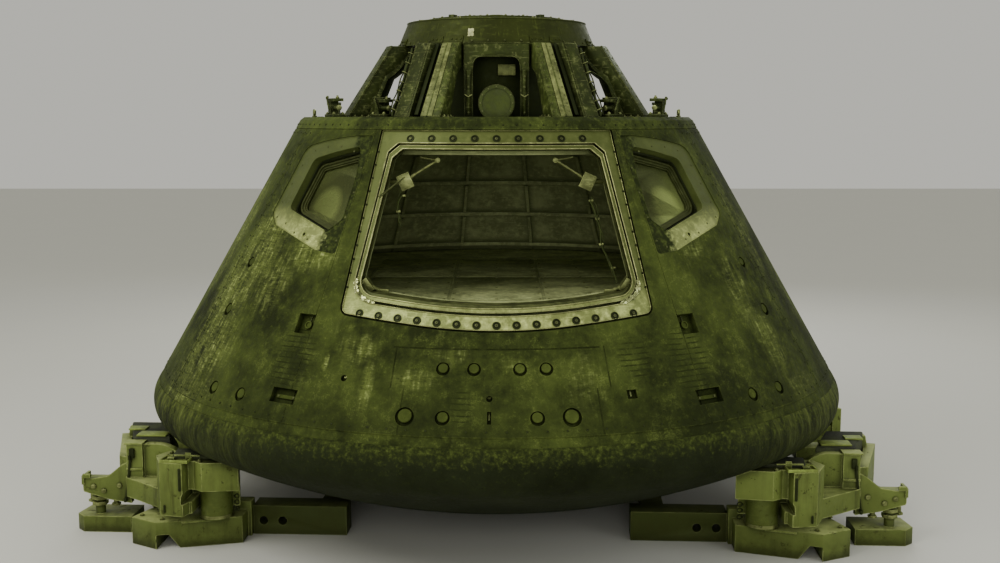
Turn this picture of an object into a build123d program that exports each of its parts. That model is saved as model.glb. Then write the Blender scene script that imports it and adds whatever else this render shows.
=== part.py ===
# A crew space capsule with its forward bay uncovered, standing on a recovery cradle.
# Millimetres. Z = 0 is the floor, X = Y = 0 is the capsule's axis, and the side
# hatch faces -Y. Azimuth is measured from -Y and grows towards +X.

from build123d import *
from math import asin, atan2, cos, degrees, radians, sin, sqrt, tan
import os

os.makedirs("parts", exist_ok=True)

# Outer shape of the capsule
max_radius = 2500.0
dish_radius = 4930.0
shoulder_radius = 204.0
deck_radius = 1414.4
dish_bottom = 60.0
capsule_height = 3424.0
top_ring_height = 170.0
bay_height = 495.0
rim_band_height = 75.0
shoulder_band_height = 55.0
shield_lip = 26.0
rim_edge_radius = 22.0
top_ring_top = dish_bottom + capsule_height
top_ring_bottom = top_ring_top - top_ring_height
deck_top = top_ring_bottom - bay_height
rim_band_bottom = deck_top - rim_band_height

# Wall thicknesses and the gaps between panels
shield_wall = 110.0
band_wall = 62.0
backshell_wall = 60.0
panel_gap = 7.0
rim_wall = 90.0
deck_plate = 40.0
cabin_inset = 170.0
cabin_wall_thickness = 40.0
cabin_floor_rise = 90.0
cabin_floor_plate = 50.0
cabin_roof_drop = 124.0
cabin_roof_plate = 40.0
seat_clearance = 0.5

# Side hatch opening, seen from the front
hatch_half_top = 728.0
hatch_half_bottom = 962.0
hatch_height = 1184.0
hatch_top = rim_band_bottom
hatch_bottom = hatch_top - hatch_height
cabin_floor_top = hatch_bottom + cabin_floor_rise
cabin_roof_top = rim_band_bottom - cabin_roof_drop
hatch_sag = 87.0
hatch_sag_radius = 5000.0
flange_drop = 20.0
flange_thickness = 34.0
flange_gap = 10.0
flange_side_high = 78.0
flange_side_low = 40.0
flange_top_width = 86.0
flange_bottom_width = 82.0
seal_groove = 16.0
seal_width = 20.0
seal_drop = 34.0
seal_thickness = 30.0
reveal_wall = 12.0
hatch_chamfer_length = 90.0
hatch_corner_radius = 120.0
arm_box_size = 84.0
arm_box_depth = 64.0
arm_box_drop = 332.0
arm_box_height = hatch_top - arm_box_drop
arm_edge_gap = 110.0
latch_height = 112.0
latch_foot_height = 72.0
latch_foot_step = 98.0
latch_edge_gap = 40.0
latch_inset = 115.0

# Side windows. Azimuths are counted from the side of the hatch opening.
window_azimuth_step = 13.0
window_centre_drop = 364.0
window_centre_height = rim_band_bottom - window_centre_drop
surround_reach = 470.0
frame_reach = 420.0
window_panel_step = 1.4
window_panel_end = 62.0
side_panel_end = 118.0
screw_azimuth_step = 11.9
screw_drop = 294.0
screw_height = window_centre_height - screw_drop
screw_hole_radius = 15.0
surround_drop = 8.0
surround_thickness = 52.0
window_step = 34.0
window_frame_wall = 26.0
window_step_depth = 112.0
pane_thickness = 16.0
pane_seat_width = 16.0
cut_above = 60.0
surround_cut_above = 120.0
cut_depth = 400.0
cabin_cut_depth = 500.0

# Forward bay
tunnel_radius = 500.0
tunnel_wall_thickness = 30.0
top_ring_bottom_radius = 716.0
top_ring_top_radius = 645.0
top_ring_wall = 60.0
top_plate = 24.0
docking_ring_radius = 505.0
docking_ring_height = 30.0
docking_ring_width = 46.0
bolt_circle_radius = 580.0
docking_bolt_count = 12
docking_bolt_radius = 9.0
lid_seat_radius = 420.0
lid_radius = 446.0
lid_thickness = 28.0
lid_gap = 6.0
hinge_pin_radius = 14.0
hinge_pin_clearance = 1.0
hinge_knuckle_radius = 28.0
hinge_pin_rise = 60.0
hinge_pin_y = 560.0
hinge_arm_inner = 60.0
hinge_arm_width = 28.0
hinge_lug_width = 25.0
hinge_side_gap = 7.0
gusset_ring_overlap = 56.0
gusset_top_inner = top_ring_bottom_radius - gusset_ring_overlap
gusset_bend_rise = 285.0
gusset_flare = 62.0
arch_half_width = 218.0
arch_bar = 58.0
arch_step = 26.0
arch_front = top_ring_bottom_radius + arch_step
arch_depth = 45.0
arch_head = 90.0
arch_corner_radius = 60.0
arch_lug_width = 26.0
arch_lug_depth = 30.0
arch_lug_height = 34.0
arch_lug_rise = 150.0
canister_radius = 117.0
canister_rise = 92.0
canister_length = 280.0
canister_step = 108.0
canister_front = arch_front + canister_step
bay_edge_margin = 282.0
fitting_base_width = 150.0
fitting_base_depth = 96.0
fitting_base_height = 18.0
fitting_post_width = 34.0
fitting_post_depth = 60.0
fitting_post_step = 28.0
fitting_head_width = 120.0
fitting_head_depth = 70.0
fitting_head_height = 20.0
fitting_head_step = 8.0
fitting_pin_radius = 18.0
fitting_pin_length = 110.0
fitting_pin_step = 10.0
docking_latch_radius = 548.0
docking_latch_width = 96.0
docking_latch_depth = 74.0
docking_latch_height = 14.0
docking_hook_width = 40.0
docking_hook_depth = 52.0
docking_hook_height = 24.0
docking_hook_step = 18.0
docking_hook_inset = 8.0

# Recovery cradle, in its own frame before it is turned
cradle_turn = -3.0
seat_azimuth = 65.0
block_top = dish_bottom + 548.0
block_bottom = dish_bottom + 194.0
mouth_top = dish_bottom + 358.0
mouth_radius = 46.0
tab_top = dish_bottom + 274.0
shoe_top = dish_bottom + 125.0
shoe_collar_rise = 58.0
notch_height = 95.0
saddle_top = dish_bottom + 330.0
saddle_bottom = dish_bottom + 198.0
web_thickness = 60.0
front_web_top = dish_bottom + 556.0
rear_web_top = dish_bottom + 545.0
pad_top = dish_bottom + 580.0
wall_top = dish_bottom + 470.0
roller_radius = 106.0
foot_height = 112.0
screw_jack_radius = 34.0
beam_height = 200.0
beam_width = 180.0
beam_front = 1120.0
beam_inner = 960.0
beam_hole_radius = 30.0
beam_hole_height = 95.0
tie_height = 38.0
tie_width = 160.0
rail_height = 110.0
rail_width = 150.0
rail_centre = 1140.0

shoulder_r = max_radius - shoulder_radius
shoulder_z = dish_bottom + dish_radius - sqrt((dish_radius - shoulder_radius) ** 2 - shoulder_r ** 2)
cone_reach = sqrt((shoulder_r - deck_radius) ** 2 + (deck_top - shoulder_z) ** 2)
half_angle = atan2(shoulder_r - deck_radius, deck_top - shoulder_z) + asin(shoulder_radius / cone_reach)
cone_half_angle = degrees(half_angle)
tangent_r = shoulder_r + shoulder_radius * cos(half_angle)
tangent_z = shoulder_z + shoulder_radius * sin(half_angle)
dish_edge = asin(shoulder_r / (dish_radius - shoulder_radius))
shield_top = tangent_z + shield_lip
band_top = shield_top + shoulder_band_height


def cone_r(z, inset=0.0):
    """Radius of the cone at a height, less an inset measured square to its surface."""
    return tangent_r - (z - tangent_z) * tan(half_angle) - inset / cos(half_angle)


def inside_y(x, z, inset):
    """Y of the wall's inner surface at a width and height, on the hatch side."""
    return -sqrt(cone_r(z, inset) ** 2 - x ** 2)


def ring_face(points):
    """A closed face in the XZ plane from radius and height pairs."""
    corners = [(r, 0, z) for r, z in points]
    return Face(Wire(Polyline(*corners, close=True)))


def turned(face, start=0.0, sweep=360.0):
    """A face turned about the axis, from one azimuth through a sweep."""
    solid = revolve(face, Axis.Z, sweep)
    return solid.rotate(Axis.Z, start - 90.0)


def cone_shell(low, high, outer, inner, start=0.0, sweep=360.0):
    """A piece of conical wall between two heights and two insets."""
    points = [(cone_r(low, outer), low), (cone_r(high, outer), high)]
    points += [(cone_r(high, inner), high), (cone_r(low, inner), low)]
    return turned(ring_face(points), start, sweep)


def front_prism(points, near, far, radii=None):
    """An outline of X and Z pairs, seen from the front, pushed from near to far along Y."""
    corners = [(x, near, z) for x, z in points]
    if radii:
        outline = FilletPolyline(*corners, radius=radii, close=True)
    else:
        outline = Polyline(*corners, close=True)
    return extrude(Face(Wire(outline.edges())), amount=far - near, dir=(0, 1, 0))


def plan_prism(points, low, high):
    """An outline of X and Y pairs pushed up from one height to another."""
    corners = [(x, y, low) for x, y in points]
    return extrude(Face(Wire(Polyline(*corners, close=True).edges())), amount=high - low, dir=(0, 0, 1))


def at_azimuth(shape, azimuth):
    """Turns a piece drawn along -Y to its azimuth."""
    return shape.rotate(Axis.Z, azimuth)


def save(name, *solids):
    """Writes one node from solids that do not touch."""
    pieces = []
    for item in solids:
        pieces += list(item.solids())
    shape = pieces[0] if len(pieces) == 1 else Compound(children=pieces)
    export_step(shape, os.path.join("parts", name + ".step"))
    nodes[name] = shape


nodes = {}


def dish_outline(inset):
    """The dish and shoulder from the axis outwards, moved inwards by an inset."""
    sphere_centre = (0, 0, dish_bottom + dish_radius)
    ball = dish_radius - inset
    corner = shoulder_radius - inset
    bottom = (0, 0, dish_bottom + inset)
    half = (ball * sin(dish_edge / 2), 0, sphere_centre[2] - ball * cos(dish_edge / 2))
    edge = (ball * sin(dish_edge), 0, sphere_centre[2] - ball * cos(dish_edge))
    middle = (half_angle - (radians(90) - dish_edge)) / 2
    knee = (shoulder_r + corner * cos(middle), 0, shoulder_z + corner * sin(middle))
    end = (shoulder_r + corner * cos(half_angle), 0, shoulder_z + corner * sin(half_angle))
    return [ThreePointArc(bottom, half, edge), ThreePointArc(edge, knee, end)], bottom, end


def capsule_envelope():
    """The solid outer shape up to the shield's top, used to seat the cradle's pads."""
    arcs, bottom, end = dish_outline(0.0)
    top = (cone_r(shield_top), 0, shield_top)
    axis_top = (0, 0, shield_top)
    edges = arcs + [Line(end, top), Line(top, axis_top), Line(axis_top, bottom)]
    return revolve(Face(Wire(edges)), Axis.Z, 360)


def heat_shield():
    outer, bottom, end = dish_outline(0.0)
    inner, inner_bottom, inner_end = dish_outline(shield_wall)
    top = (cone_r(shield_top), 0, shield_top)
    inner_top = (cone_r(shield_top, shield_wall), 0, shield_top)
    edges = outer + [Line(end, top), Line(top, inner_top), Line(inner_top, inner_end)]
    edges += inner + [Line(inner_bottom, bottom)]
    save("heat_shield", revolve(Face(Wire(edges)), Axis.Z, 360))


def shoulder_band():
    save("shoulder_band", cone_shell(shield_top + seat_clearance, band_top - panel_gap, 5.0, band_wall))


hatch_side_azimuth = degrees(asin(hatch_half_top / cone_r(hatch_top)))
window_azimuth = hatch_side_azimuth + window_azimuth_step
window_panel_start = hatch_side_azimuth + window_panel_step

# Corners of a window's openings: azimuth from the hatch's side, height from the window's middle
recess_corners = ((4.6, 260.0), (20.0, 170.0), (21.0, -150.0), (6.0, -268.0), (2.8, -190.0), (3.2, 80.0))
surround_corners = ((6.0, 320.0), (26.0, 240.0), (27.0, -190.0), (23.0, -258.0), (7.0, -380.0), (1.8, -395.0),
                    (1.8, 320.0))
recess_radii = (40.0, 60.0, 55.0, 55.0, 60.0, 200.0)
surround_radii = (60.0, 90.0, 60.0, 40.0, 60.0, 20.0, 20.0)


def window_plane():
    """A plane on the cone at the window, facing out, with its Y axis up the slope."""
    azimuth = radians(window_azimuth)
    radius = cone_r(window_centre_height)
    centre = (radius * sin(azimuth), -radius * cos(azimuth), window_centre_height)
    out = (cos(half_angle) * sin(azimuth), -cos(half_angle) * cos(azimuth), sin(half_angle))
    along = (cos(azimuth), sin(azimuth), 0)
    return Plane(origin=centre, x_dir=along, z_dir=out)


def window_points(corners):
    """Corners given as azimuth and height, laid flat on the window's plane."""
    plane = window_plane()
    flat = []
    for step, height in corners:
        azimuth = hatch_side_azimuth + step
        z = window_centre_height + height
        radius = cone_r(z)
        point = Vector(radius * sin(radians(azimuth)), -radius * cos(radians(azimuth)), z)
        local = plane.to_local_coords(point)
        flat.append((local.X, local.Y))
    return flat


def window_prism(corners, radii, grow, top, depth):
    """A rounded outline on the window's plane, grown outwards and cut from top down by a depth."""
    plane = window_plane()
    outline = FilletPolyline(*[(x, y, 0) for x, y in window_points(corners)], radius=radii, close=True)
    face = Face(Wire(outline.edges()))
    if grow:
        face = offset(face, amount=grow)
    solid = extrude(face, amount=-depth, dir=(0, 0, 1))
    return plane.from_local_coords(Pos(0, 0, top) * solid)


def both_sides(solid):
    """The right-hand piece and its mirror image."""
    return solid, solid.mirror(Plane.YZ)


# Backshell panels: name, first azimuth, last azimuth, mirrored
panel_table = (
    ("hatch_panel", -window_panel_start, window_panel_start, False),
    ("window_panel", window_panel_start, window_panel_end, True),
    ("side_panel", window_panel_end, side_panel_end, True),
    ("rear_panel", side_panel_end, 180.0, True),
)


def hatch_outline(grow):
    """Corners of the hatch recess, grown outwards. The sill hangs lower in its middle."""
    low = hatch_bottom - grow
    high = hatch_top + grow
    slope = (hatch_half_bottom - hatch_half_top) / (hatch_top - hatch_bottom)
    wide = hatch_half_bottom + grow * sqrt(1 + slope ** 2) - (hatch_sag - grow) * slope
    narrow = hatch_half_top + grow * sqrt(1 + slope ** 2) - grow * slope
    return [(-wide, low + hatch_sag), (0.0, low), (wide, low + hatch_sag), (narrow, high), (-narrow, high)]


def hatch_recess(grow, near=-2600.0, far=-700.0):
    corner = max(20.0, 46.0 + grow)
    return front_prism(hatch_outline(grow), near, far, [corner, hatch_sag_radius, corner, 12.0, 12.0])


def opening_half(z):
    """Half width of the clear hatch opening at a height."""
    low_half = hatch_half_bottom - flange_side_low
    high_half = hatch_half_top - flange_side_high
    return low_half + (high_half - low_half) * (z - hatch_bottom) / (hatch_top - hatch_bottom)


def hatch_opening(grow, near=-2600.0, far=-700.0):
    """The clear opening inside the bolted flange: chamfered at the top, rounded at the bottom."""
    low = hatch_bottom + flange_bottom_width - grow
    high = hatch_top - flange_top_width + grow
    drop = hatch_chamfer_length * 0.62
    side_low = opening_half(low + hatch_sag) + grow
    side_drop = opening_half(high - drop) + grow
    side_high = opening_half(high) + grow - hatch_chamfer_length * 0.6
    points = [(-side_low, low + hatch_sag), (0.0, low), (side_low, low + hatch_sag), (side_drop, high - drop)]
    points += [(side_high, high), (-side_high, high), (-side_drop, high - drop)]
    corner = hatch_corner_radius + grow
    return front_prism(points, near, far, [corner, hatch_sag_radius, corner, 14.0, 14.0, 14.0, 14.0])


# Pockets cut in the lower backshell: azimuth from the hatch's side, height, width, tall, depth
pocket_table = (
    ("square", 3.1, 1520.0, 130.0, 128.0, 44.0),
    ("slot", 2.6, 1122.0, 190.0, 92.0, 40.0),
)


def pockets(azimuth_sign):
    cuts = []
    for name, step, height, width, tall, depth in pocket_table:
        z = dish_bottom + height
        radius = cone_r(z)
        block = Box(width, 2 * depth, tall)
        block = block.rotate(Axis.X, -cone_half_angle)
        block = Pos(0, -radius, z) * block
        cuts.append(at_azimuth(block, azimuth_sign * (hatch_side_azimuth + step)))
    return cuts


# Round recesses in the backshell: panel, azimuth, height, radius, depth. Window panels are mirrored.
recess_table = (
    ("hatch_panel", -7.9, 1330.0, 40.0, 22.0),
    ("hatch_panel", -3.3, 1330.0, 40.0, 22.0),
    ("hatch_panel", 3.45, 1330.0, 40.0, 22.0),
    ("hatch_panel", 7.35, 1330.0, 40.0, 22.0),
    ("hatch_panel", -12.7, 1078.0, 56.0, 22.0),
    ("hatch_panel", -7.4, 1078.0, 43.0, 22.0),
    ("hatch_panel", 5.6, 1078.0, 43.0, 22.0),
    ("hatch_panel", 10.4, 1078.0, 56.0, 22.0),
    ("hatch_panel", -1.0, 1179.0, 18.0, 30.0),
    ("hatch_panel", -23.0, 1252.0, 20.0, 26.0),
    ("window_panel", 41.3, 1085.0, 44.0, 20.0),
    ("window_panel", 48.3, 1082.0, 44.0, 20.0),
    ("window_panel", 55.5, 1519.0, 44.0, 20.0),
    ("window_panel", 55.7, 1815.0, 38.0, 20.0),
)

# Square-cornered recesses in the hatch panel: azimuth, height, width, tall, depth
slot_table = ((-1.0, 1083.0, 24.0, 74.0, 30.0), (19.7, 1177.0, 62.0, 54.0, 30.0))


def recesses(panel_name):
    """Solids to cut from one panel, each drilled square to the cone."""
    cuts = []
    for name, azimuth, height, radius, depth in recess_table:
        if name == panel_name:
            z = dish_bottom + height
            drill = Cylinder(radius, 2 * depth).rotate(Axis.X, 90 - cone_half_angle)
            cuts.append(at_azimuth(Pos(0, -cone_r(z), z) * drill, azimuth))
    if panel_name == "hatch_panel":
        for azimuth, height, width, tall, depth in slot_table:
            z = dish_bottom + height
            block = Box(width, 2 * depth, tall).rotate(Axis.X, -cone_half_angle)
            cuts.append(at_azimuth(Pos(0, -cone_r(z), z) * block, azimuth))
    return cuts


def backshell():
    gap_angle = degrees(panel_gap / 2 / cone_r(band_top))
    low = band_top
    high = rim_band_bottom - panel_gap
    recess = hatch_recess(0.0)
    surround_cut = window_prism(surround_corners, surround_radii, 3.0, surround_cut_above, 320.0)
    for name, first, last, mirrored in panel_table:
        sweep = last - first - 2 * gap_angle
        panel = cone_shell(low, high, 0.0, backshell_wall, first + gap_angle, sweep)
        if name == "hatch_panel":
            panel = panel - recess
            panel = panel - pockets(1) - pockets(-1) - recesses(name)
            save(name, panel)
        else:
            if name == "window_panel":
                panel = panel - surround_cut - recess - pockets(1) - recesses(name)
            right, left = both_sides(panel)
            save(name + "_right", right)
            save(name + "_left", left)


def windows():
    shell = cone_shell(window_centre_height - surround_reach, rim_band_bottom - panel_gap - 1.0, surround_drop,
                       surround_drop + surround_thickness, hatch_side_azimuth + 1.9, 28.0)
    surround = shell & window_prism(surround_corners, surround_radii, 0.0, surround_cut_above, cut_depth)
    surround = surround - window_prism(recess_corners, recess_radii, 0.0, surround_cut_above, cut_depth)
    screw = Cylinder(screw_hole_radius, 240.0).rotate(Axis.X, 90 - cone_half_angle)
    screw = Pos(0, -cone_r(screw_height), screw_height) * screw
    screw = at_azimuth(screw, hatch_side_azimuth + screw_azimuth_step)
    surround = surround - screw
    frame_low = window_centre_height - frame_reach
    frame_high = rim_band_bottom - panel_gap - 1.0
    frame = cone_shell(frame_low, frame_high, surround_drop + surround_thickness + seat_clearance,
                       cabin_inset - seat_clearance, hatch_side_azimuth + 1.0, 30.0)
    frame = frame & window_prism(recess_corners, recess_radii, window_frame_wall, cut_above, cut_depth)
    frame = frame - window_prism(recess_corners, recess_radii, -6.0, cut_above, cut_above + window_step_depth)
    frame = frame - window_prism(recess_corners, recess_radii, -window_step, cut_above, cut_depth)
    seat_top = -window_step_depth + seat_clearance
    seat = window_prism(recess_corners, recess_radii, -window_step + pane_seat_width, seat_top, pane_thickness + 1.0)
    frame = frame - seat
    pane = window_prism(recess_corners, recess_radii, -window_step + pane_seat_width - seat_clearance,
                        seat_top - seat_clearance, pane_thickness)
    for name, solid in (("window_surround", surround), ("window_frame", frame), ("window_pane", pane)):
        right, left = both_sides(solid)
        save(name + "_right", right)
        save(name + "_left", left)


def rim_and_deck():
    low = rim_band_bottom
    top_r = cone_r(deck_top) - rim_edge_radius * 0.7
    face = ring_face([(cone_r(low), low), (cone_r(deck_top - rim_edge_radius), deck_top - rim_edge_radius),
                      (top_r, deck_top), (cone_r(low) - rim_wall, deck_top), (cone_r(low) - rim_wall, low)])
    save("rim_band", turned(face))
    inner = tunnel_radius + seat_clearance
    outer = cone_r(low) - rim_wall - seat_clearance
    plate = ring_face([(inner, deck_top - deck_plate), (outer, deck_top - deck_plate), (outer, deck_top),
                       (inner, deck_top)])
    save("forward_deck", turned(plate))


def hatch():
    shell = cone_shell(hatch_bottom - 60.0, hatch_top + 20.0, flange_drop, flange_drop + flange_thickness, -60.0, 120.0)
    flange = shell & hatch_recess(-flange_gap)
    flange = flange - hatch_opening(0.0)
    save("hatch_frame", flange)
    seal_shell = cone_shell(hatch_bottom, hatch_top, seal_drop, seal_drop + seal_thickness, -60.0, 120.0)
    seal = seal_shell & hatch_opening(-seal_groove)
    seal = seal - hatch_opening(-seal_groove - seal_width)
    save("hatch_seal_lip", seal)
    reveal_top = seal_drop + seal_thickness + seat_clearance
    reveal_shell = cone_shell(hatch_bottom, hatch_top, reveal_top, cabin_inset - seat_clearance, -60.0, 120.0)
    reveal = reveal_shell & hatch_opening(-seal_groove + 8.0)
    reveal = reveal - hatch_opening(-seal_groove - seal_width - reveal_wall)
    save("hatch_reveal", reveal)


def cabin():
    low = cabin_floor_top - cabin_floor_plate
    high = cabin_roof_top - cabin_roof_plate
    wall = cone_shell(low, high, cabin_inset, cabin_inset + cabin_wall_thickness)
    wall = wall - hatch_opening(-seal_groove - seal_width - reveal_wall)
    hole = window_prism(recess_corners, recess_radii, -window_step, cut_above, cabin_cut_depth)
    right, left = both_sides(hole)
    wall = wall - right - left
    save("cabin_wall", wall)
    outer = cone_r(cabin_floor_top, cabin_inset + cabin_wall_thickness) - seat_clearance
    floor_face = ring_face([(0, low), (outer, low), (outer, cabin_floor_top), (0, cabin_floor_top)])
    save("cabin_floor", turned(floor_face))
    roof_outer = cone_r(cabin_roof_top, cabin_inset)
    roof = ring_face([(tunnel_radius + seat_clearance, high + seat_clearance), (roof_outer, high + seat_clearance),
                      (roof_outer, cabin_roof_top), (tunnel_radius + seat_clearance, cabin_roof_top)])
    save("cabin_roof", turned(roof))


def forward_bay():
    low = cabin_roof_top - cabin_roof_plate
    wall = ring_face([(tunnel_radius - tunnel_wall_thickness, low), (tunnel_radius, low),
                      (tunnel_radius, top_ring_top - top_plate - seat_clearance),
                      (tunnel_radius - tunnel_wall_thickness, top_ring_top - top_plate - seat_clearance)])
    save("tunnel_wall", turned(wall))
    inner_low = top_ring_bottom_radius - top_ring_wall
    inner_high = top_ring_top_radius - top_ring_wall
    ring = ring_face([(inner_low, top_ring_bottom), (top_ring_bottom_radius, top_ring_bottom),
                      (top_ring_top_radius, top_ring_top), (lid_seat_radius, top_ring_top),
                      (lid_seat_radius, top_ring_top - top_plate), (inner_high, top_ring_top - top_plate)])
    top_ring = turned(ring)
    bolts = PolarLocations(bolt_circle_radius, docking_bolt_count)
    drill = Cylinder(docking_bolt_radius, 4 * top_plate)
    for place in bolts:
        top_ring = top_ring - Pos(0, 0, top_ring_top) * place * drill
    save("top_ring", top_ring)
    dock = ring_face([(docking_ring_radius - docking_ring_width, top_ring_top), (docking_ring_radius, top_ring_top),
                      (docking_ring_radius - 8.0, top_ring_top + docking_ring_height),
                      (docking_ring_radius - docking_ring_width, top_ring_top + docking_ring_height)])
    save("docking_ring", turned(dock))


# Gussets: name, azimuth, reach past the ring's foot, set back at the deck, width at the top and at the foot,
# depth at the foot and at the bend
gusset_table = (
    ("gusset_front", 22.5, 89.0, 0.0, 122.0, 146.0, 150.0, 100.0),
    ("gusset_quarter", 35.0, 142.0, 30.0, 124.0, 130.0, 160.0, 112.0),
    ("gusset_side", 67.5, 89.0, 0.0, 100.0, 122.0, 132.0, 78.0),
    ("gusset_rear_side", 112.5, 89.0, 0.0, 100.0, 122.0, 132.0, 78.0),
    ("gusset_rear", 157.5, 89.0, 0.0, 122.0, 146.0, 150.0, 100.0),
)


def gusset(top_radius, foot_radius, width_top, width_foot, foot_depth, bend_depth):
    """A beam in the radial plane: straight outer edge, an inner edge that flares out to the ring above its bend."""
    low = deck_top + seat_clearance
    high = top_ring_bottom - seat_clearance
    bend_z = deck_top + gusset_bend_rise
    foot_inner = foot_radius - foot_depth
    outer_at_bend = foot_radius - (foot_radius - top_radius) * (bend_z - low) / (high - low)
    bend = (outer_at_bend - bend_depth, 0, bend_z)
    crook = ((gusset_top_inner + bend[0]) / 2 - gusset_flare / 2, 0, (bend_z + high) / 2)
    top_inner = (gusset_top_inner, 0, high)
    edges = [Line((foot_inner, 0, low), (foot_radius, 0, low)), Line((foot_radius, 0, low), (top_radius, 0, high)),
             Line((top_radius, 0, high), top_inner), ThreePointArc(top_inner, crook, bend),
             Line(bend, (foot_inner, 0, low))]
    blade = extrude(Face(Wire(edges)), amount=width_foot, both=True)
    half_top = width_top / 2
    half_foot = width_foot / 2
    wedge = Polyline((0, -half_foot, low), (0, half_foot, low), (0, half_top, high), (0, -half_top, high), close=True)
    taper = extrude(Face(Wire(wedge.edges())), amount=2 * foot_radius, dir=(1, 0, 0))
    return (blade & taper).rotate(Axis.Z, -90)


def gussets():
    for name, azimuth, reach, set_back, width_top, width_foot, foot_depth, bend_depth in gusset_table:
        top_radius = top_ring_bottom_radius + reach
        foot_radius = deck_radius - bay_edge_margin - set_back
        beam = gusset(top_radius, foot_radius, width_top, width_foot, foot_depth, bend_depth)
        save(name, at_azimuth(beam, azimuth), at_azimuth(beam, -azimuth))


def front_bay():
    low = deck_top + seat_clearance
    high = top_ring_bottom - seat_clearance
    outer = [(-arch_half_width, low), (arch_half_width, low), (arch_half_width, high), (-arch_half_width, high)]
    inner_half = arch_half_width - arch_bar
    inner = [(-inner_half, low - 10.0), (inner_half, low - 10.0), (inner_half, high - arch_head),
             (-inner_half, high - arch_head)]
    near = -arch_front
    arch = front_prism(outer, near, near + arch_depth)
    arch = arch - front_prism(inner, near - 10.0, near + arch_depth + 10.0,
                              [1.0, 1.0, arch_corner_radius, arch_corner_radius])
    for side in (1, -1):
        lug = Box(arch_lug_width, arch_lug_depth, arch_lug_height)
        lug_x = side * (arch_half_width - arch_bar / 2)
        arch = arch + Pos(lug_x, near - arch_lug_depth / 2 + 1.0, deck_top + arch_lug_rise) * lug
    save("bay_arch", arch)
    barrel = Cylinder(canister_radius, canister_length).rotate(Axis.X, 90)
    barrel = Pos(0, -canister_front + canister_length / 2, deck_top + canister_rise) * barrel
    keep = Box(4 * canister_radius, 2 * canister_front, 4 * canister_radius)
    keep = Pos(0, -canister_front, low + 2 * canister_radius) * keep
    save("bay_canister", barrel & keep)


# Deck fittings on both sides: azimuth, distance in from the deck's edge, height
fitting_table = ((60.5, 145.0, 126.0), (46.0, 345.0, 118.0), (104.0, 145.0, 112.0), (134.0, 145.0, 84.0))


def deck_fittings():
    parts = []
    base_z = deck_top + seat_clearance
    for azimuth, margin, height in fitting_table:
        fitting_radius = deck_radius - margin
        base = Box(fitting_base_width, fitting_base_depth, fitting_base_height)
        base = Pos(0, -fitting_radius, base_z + fitting_base_height / 2) * base
        post = Box(fitting_post_width, fitting_post_depth, height)
        post = Pos(fitting_post_step, -fitting_radius, base_z + height / 2) * post
        head = Box(fitting_head_width, fitting_head_depth, fitting_head_height)
        head = Pos(-fitting_head_step, -fitting_radius, base_z + height - fitting_head_height / 2) * head
        pin = Cylinder(fitting_pin_radius, fitting_pin_length).rotate(Axis.Y, 90)
        pin = Pos(-fitting_pin_step, -fitting_radius, base_z + height / 2) * pin
        piece = base + post + head + pin
        parts.append(at_azimuth(piece, azimuth))
        parts.append(at_azimuth(piece, azimuth).mirror(Plane.YZ))
    save("deck_fittings", *parts)


# Docking latches stand round the docking ring at these azimuths
latch_azimuths = (32.0, 90.0, 144.0)


def docking_hardware():
    parts = []
    for azimuth in latch_azimuths:
        base = Box(docking_latch_width, docking_latch_depth, docking_latch_height)
        base = Pos(0, -docking_latch_radius, top_ring_top + docking_latch_height / 2) * base
        hook = Box(docking_hook_width, docking_hook_depth, docking_hook_height)
        hook_z = top_ring_top + docking_latch_height - 1.0 + docking_hook_height / 2
        hook = Pos(docking_hook_step, docking_hook_inset - docking_latch_radius, hook_z) * hook
        piece = base + hook
        parts.append(at_azimuth(piece, azimuth))
        parts.append(at_azimuth(piece, azimuth).mirror(Plane.YZ))
    save("docking_latches", *parts)
    lid_low = top_ring_top + lid_gap
    lid_high = lid_low + lid_thickness
    arm_low = top_ring_top + docking_ring_height + lid_gap
    pin_z = top_ring_top + hinge_pin_rise
    plate = Pos(0, 0, (lid_low + lid_high) / 2) * Cylinder(lid_radius, lid_thickness)
    lid = chamfer(plate.edges().sort_by(Axis.Z)[-1], 9.0)
    dome = Pos(0, 0, lid_high + 4.0) * Cylinder(lid_radius * 0.62, 8.0)
    lid = lid + dome
    pin_hole = Cylinder(hinge_pin_radius + hinge_pin_clearance, 600.0).rotate(Axis.Y, 90)
    pin_hole = Pos(0, hinge_pin_y, pin_z) * pin_hole
    for side in (1, -1):
        middle = side * (hinge_arm_inner + hinge_arm_width / 2)
        length = hinge_pin_y - 300.0
        strap = Pos(middle, 300.0 + length / 2, (arm_low + pin_z + 16.0) / 2)
        strap = strap * Box(hinge_arm_width, length, pin_z + 16.0 - arm_low)
        foot = Pos(middle, 350.0, (lid_high + arm_low) / 2) * Box(hinge_arm_width, 100.0, arm_low - lid_high + 2.0)
        knuckle = Cylinder(hinge_knuckle_radius, hinge_arm_width).rotate(Axis.Y, 90)
        knuckle = Pos(middle, hinge_pin_y, pin_z) * knuckle
        lid = lid + strap + foot + knuckle
    save("tunnel_hatch", lid - pin_hole)
    lugs = []
    outer = hinge_arm_inner + hinge_arm_width + hinge_side_gap
    pin = Cylinder(hinge_pin_radius, 2 * (outer + hinge_lug_width)).rotate(Axis.Y, 90)
    hinge = Pos(0, hinge_pin_y, pin_z) * pin
    for side in (1, -1):
        middle = side * (outer + hinge_lug_width / 2)
        tall = pin_z - top_ring_top
        lug = Pos(middle, hinge_pin_y, top_ring_top + tall / 2) * Box(hinge_lug_width, 2 * hinge_knuckle_radius, tall)
        cap = Pos(middle, hinge_pin_y, pin_z) * Cylinder(hinge_knuckle_radius, hinge_lug_width).rotate(Axis.Y, 90)
        hinge = hinge + lug + cap
    save("tunnel_hatch_hinge", hinge)


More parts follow.
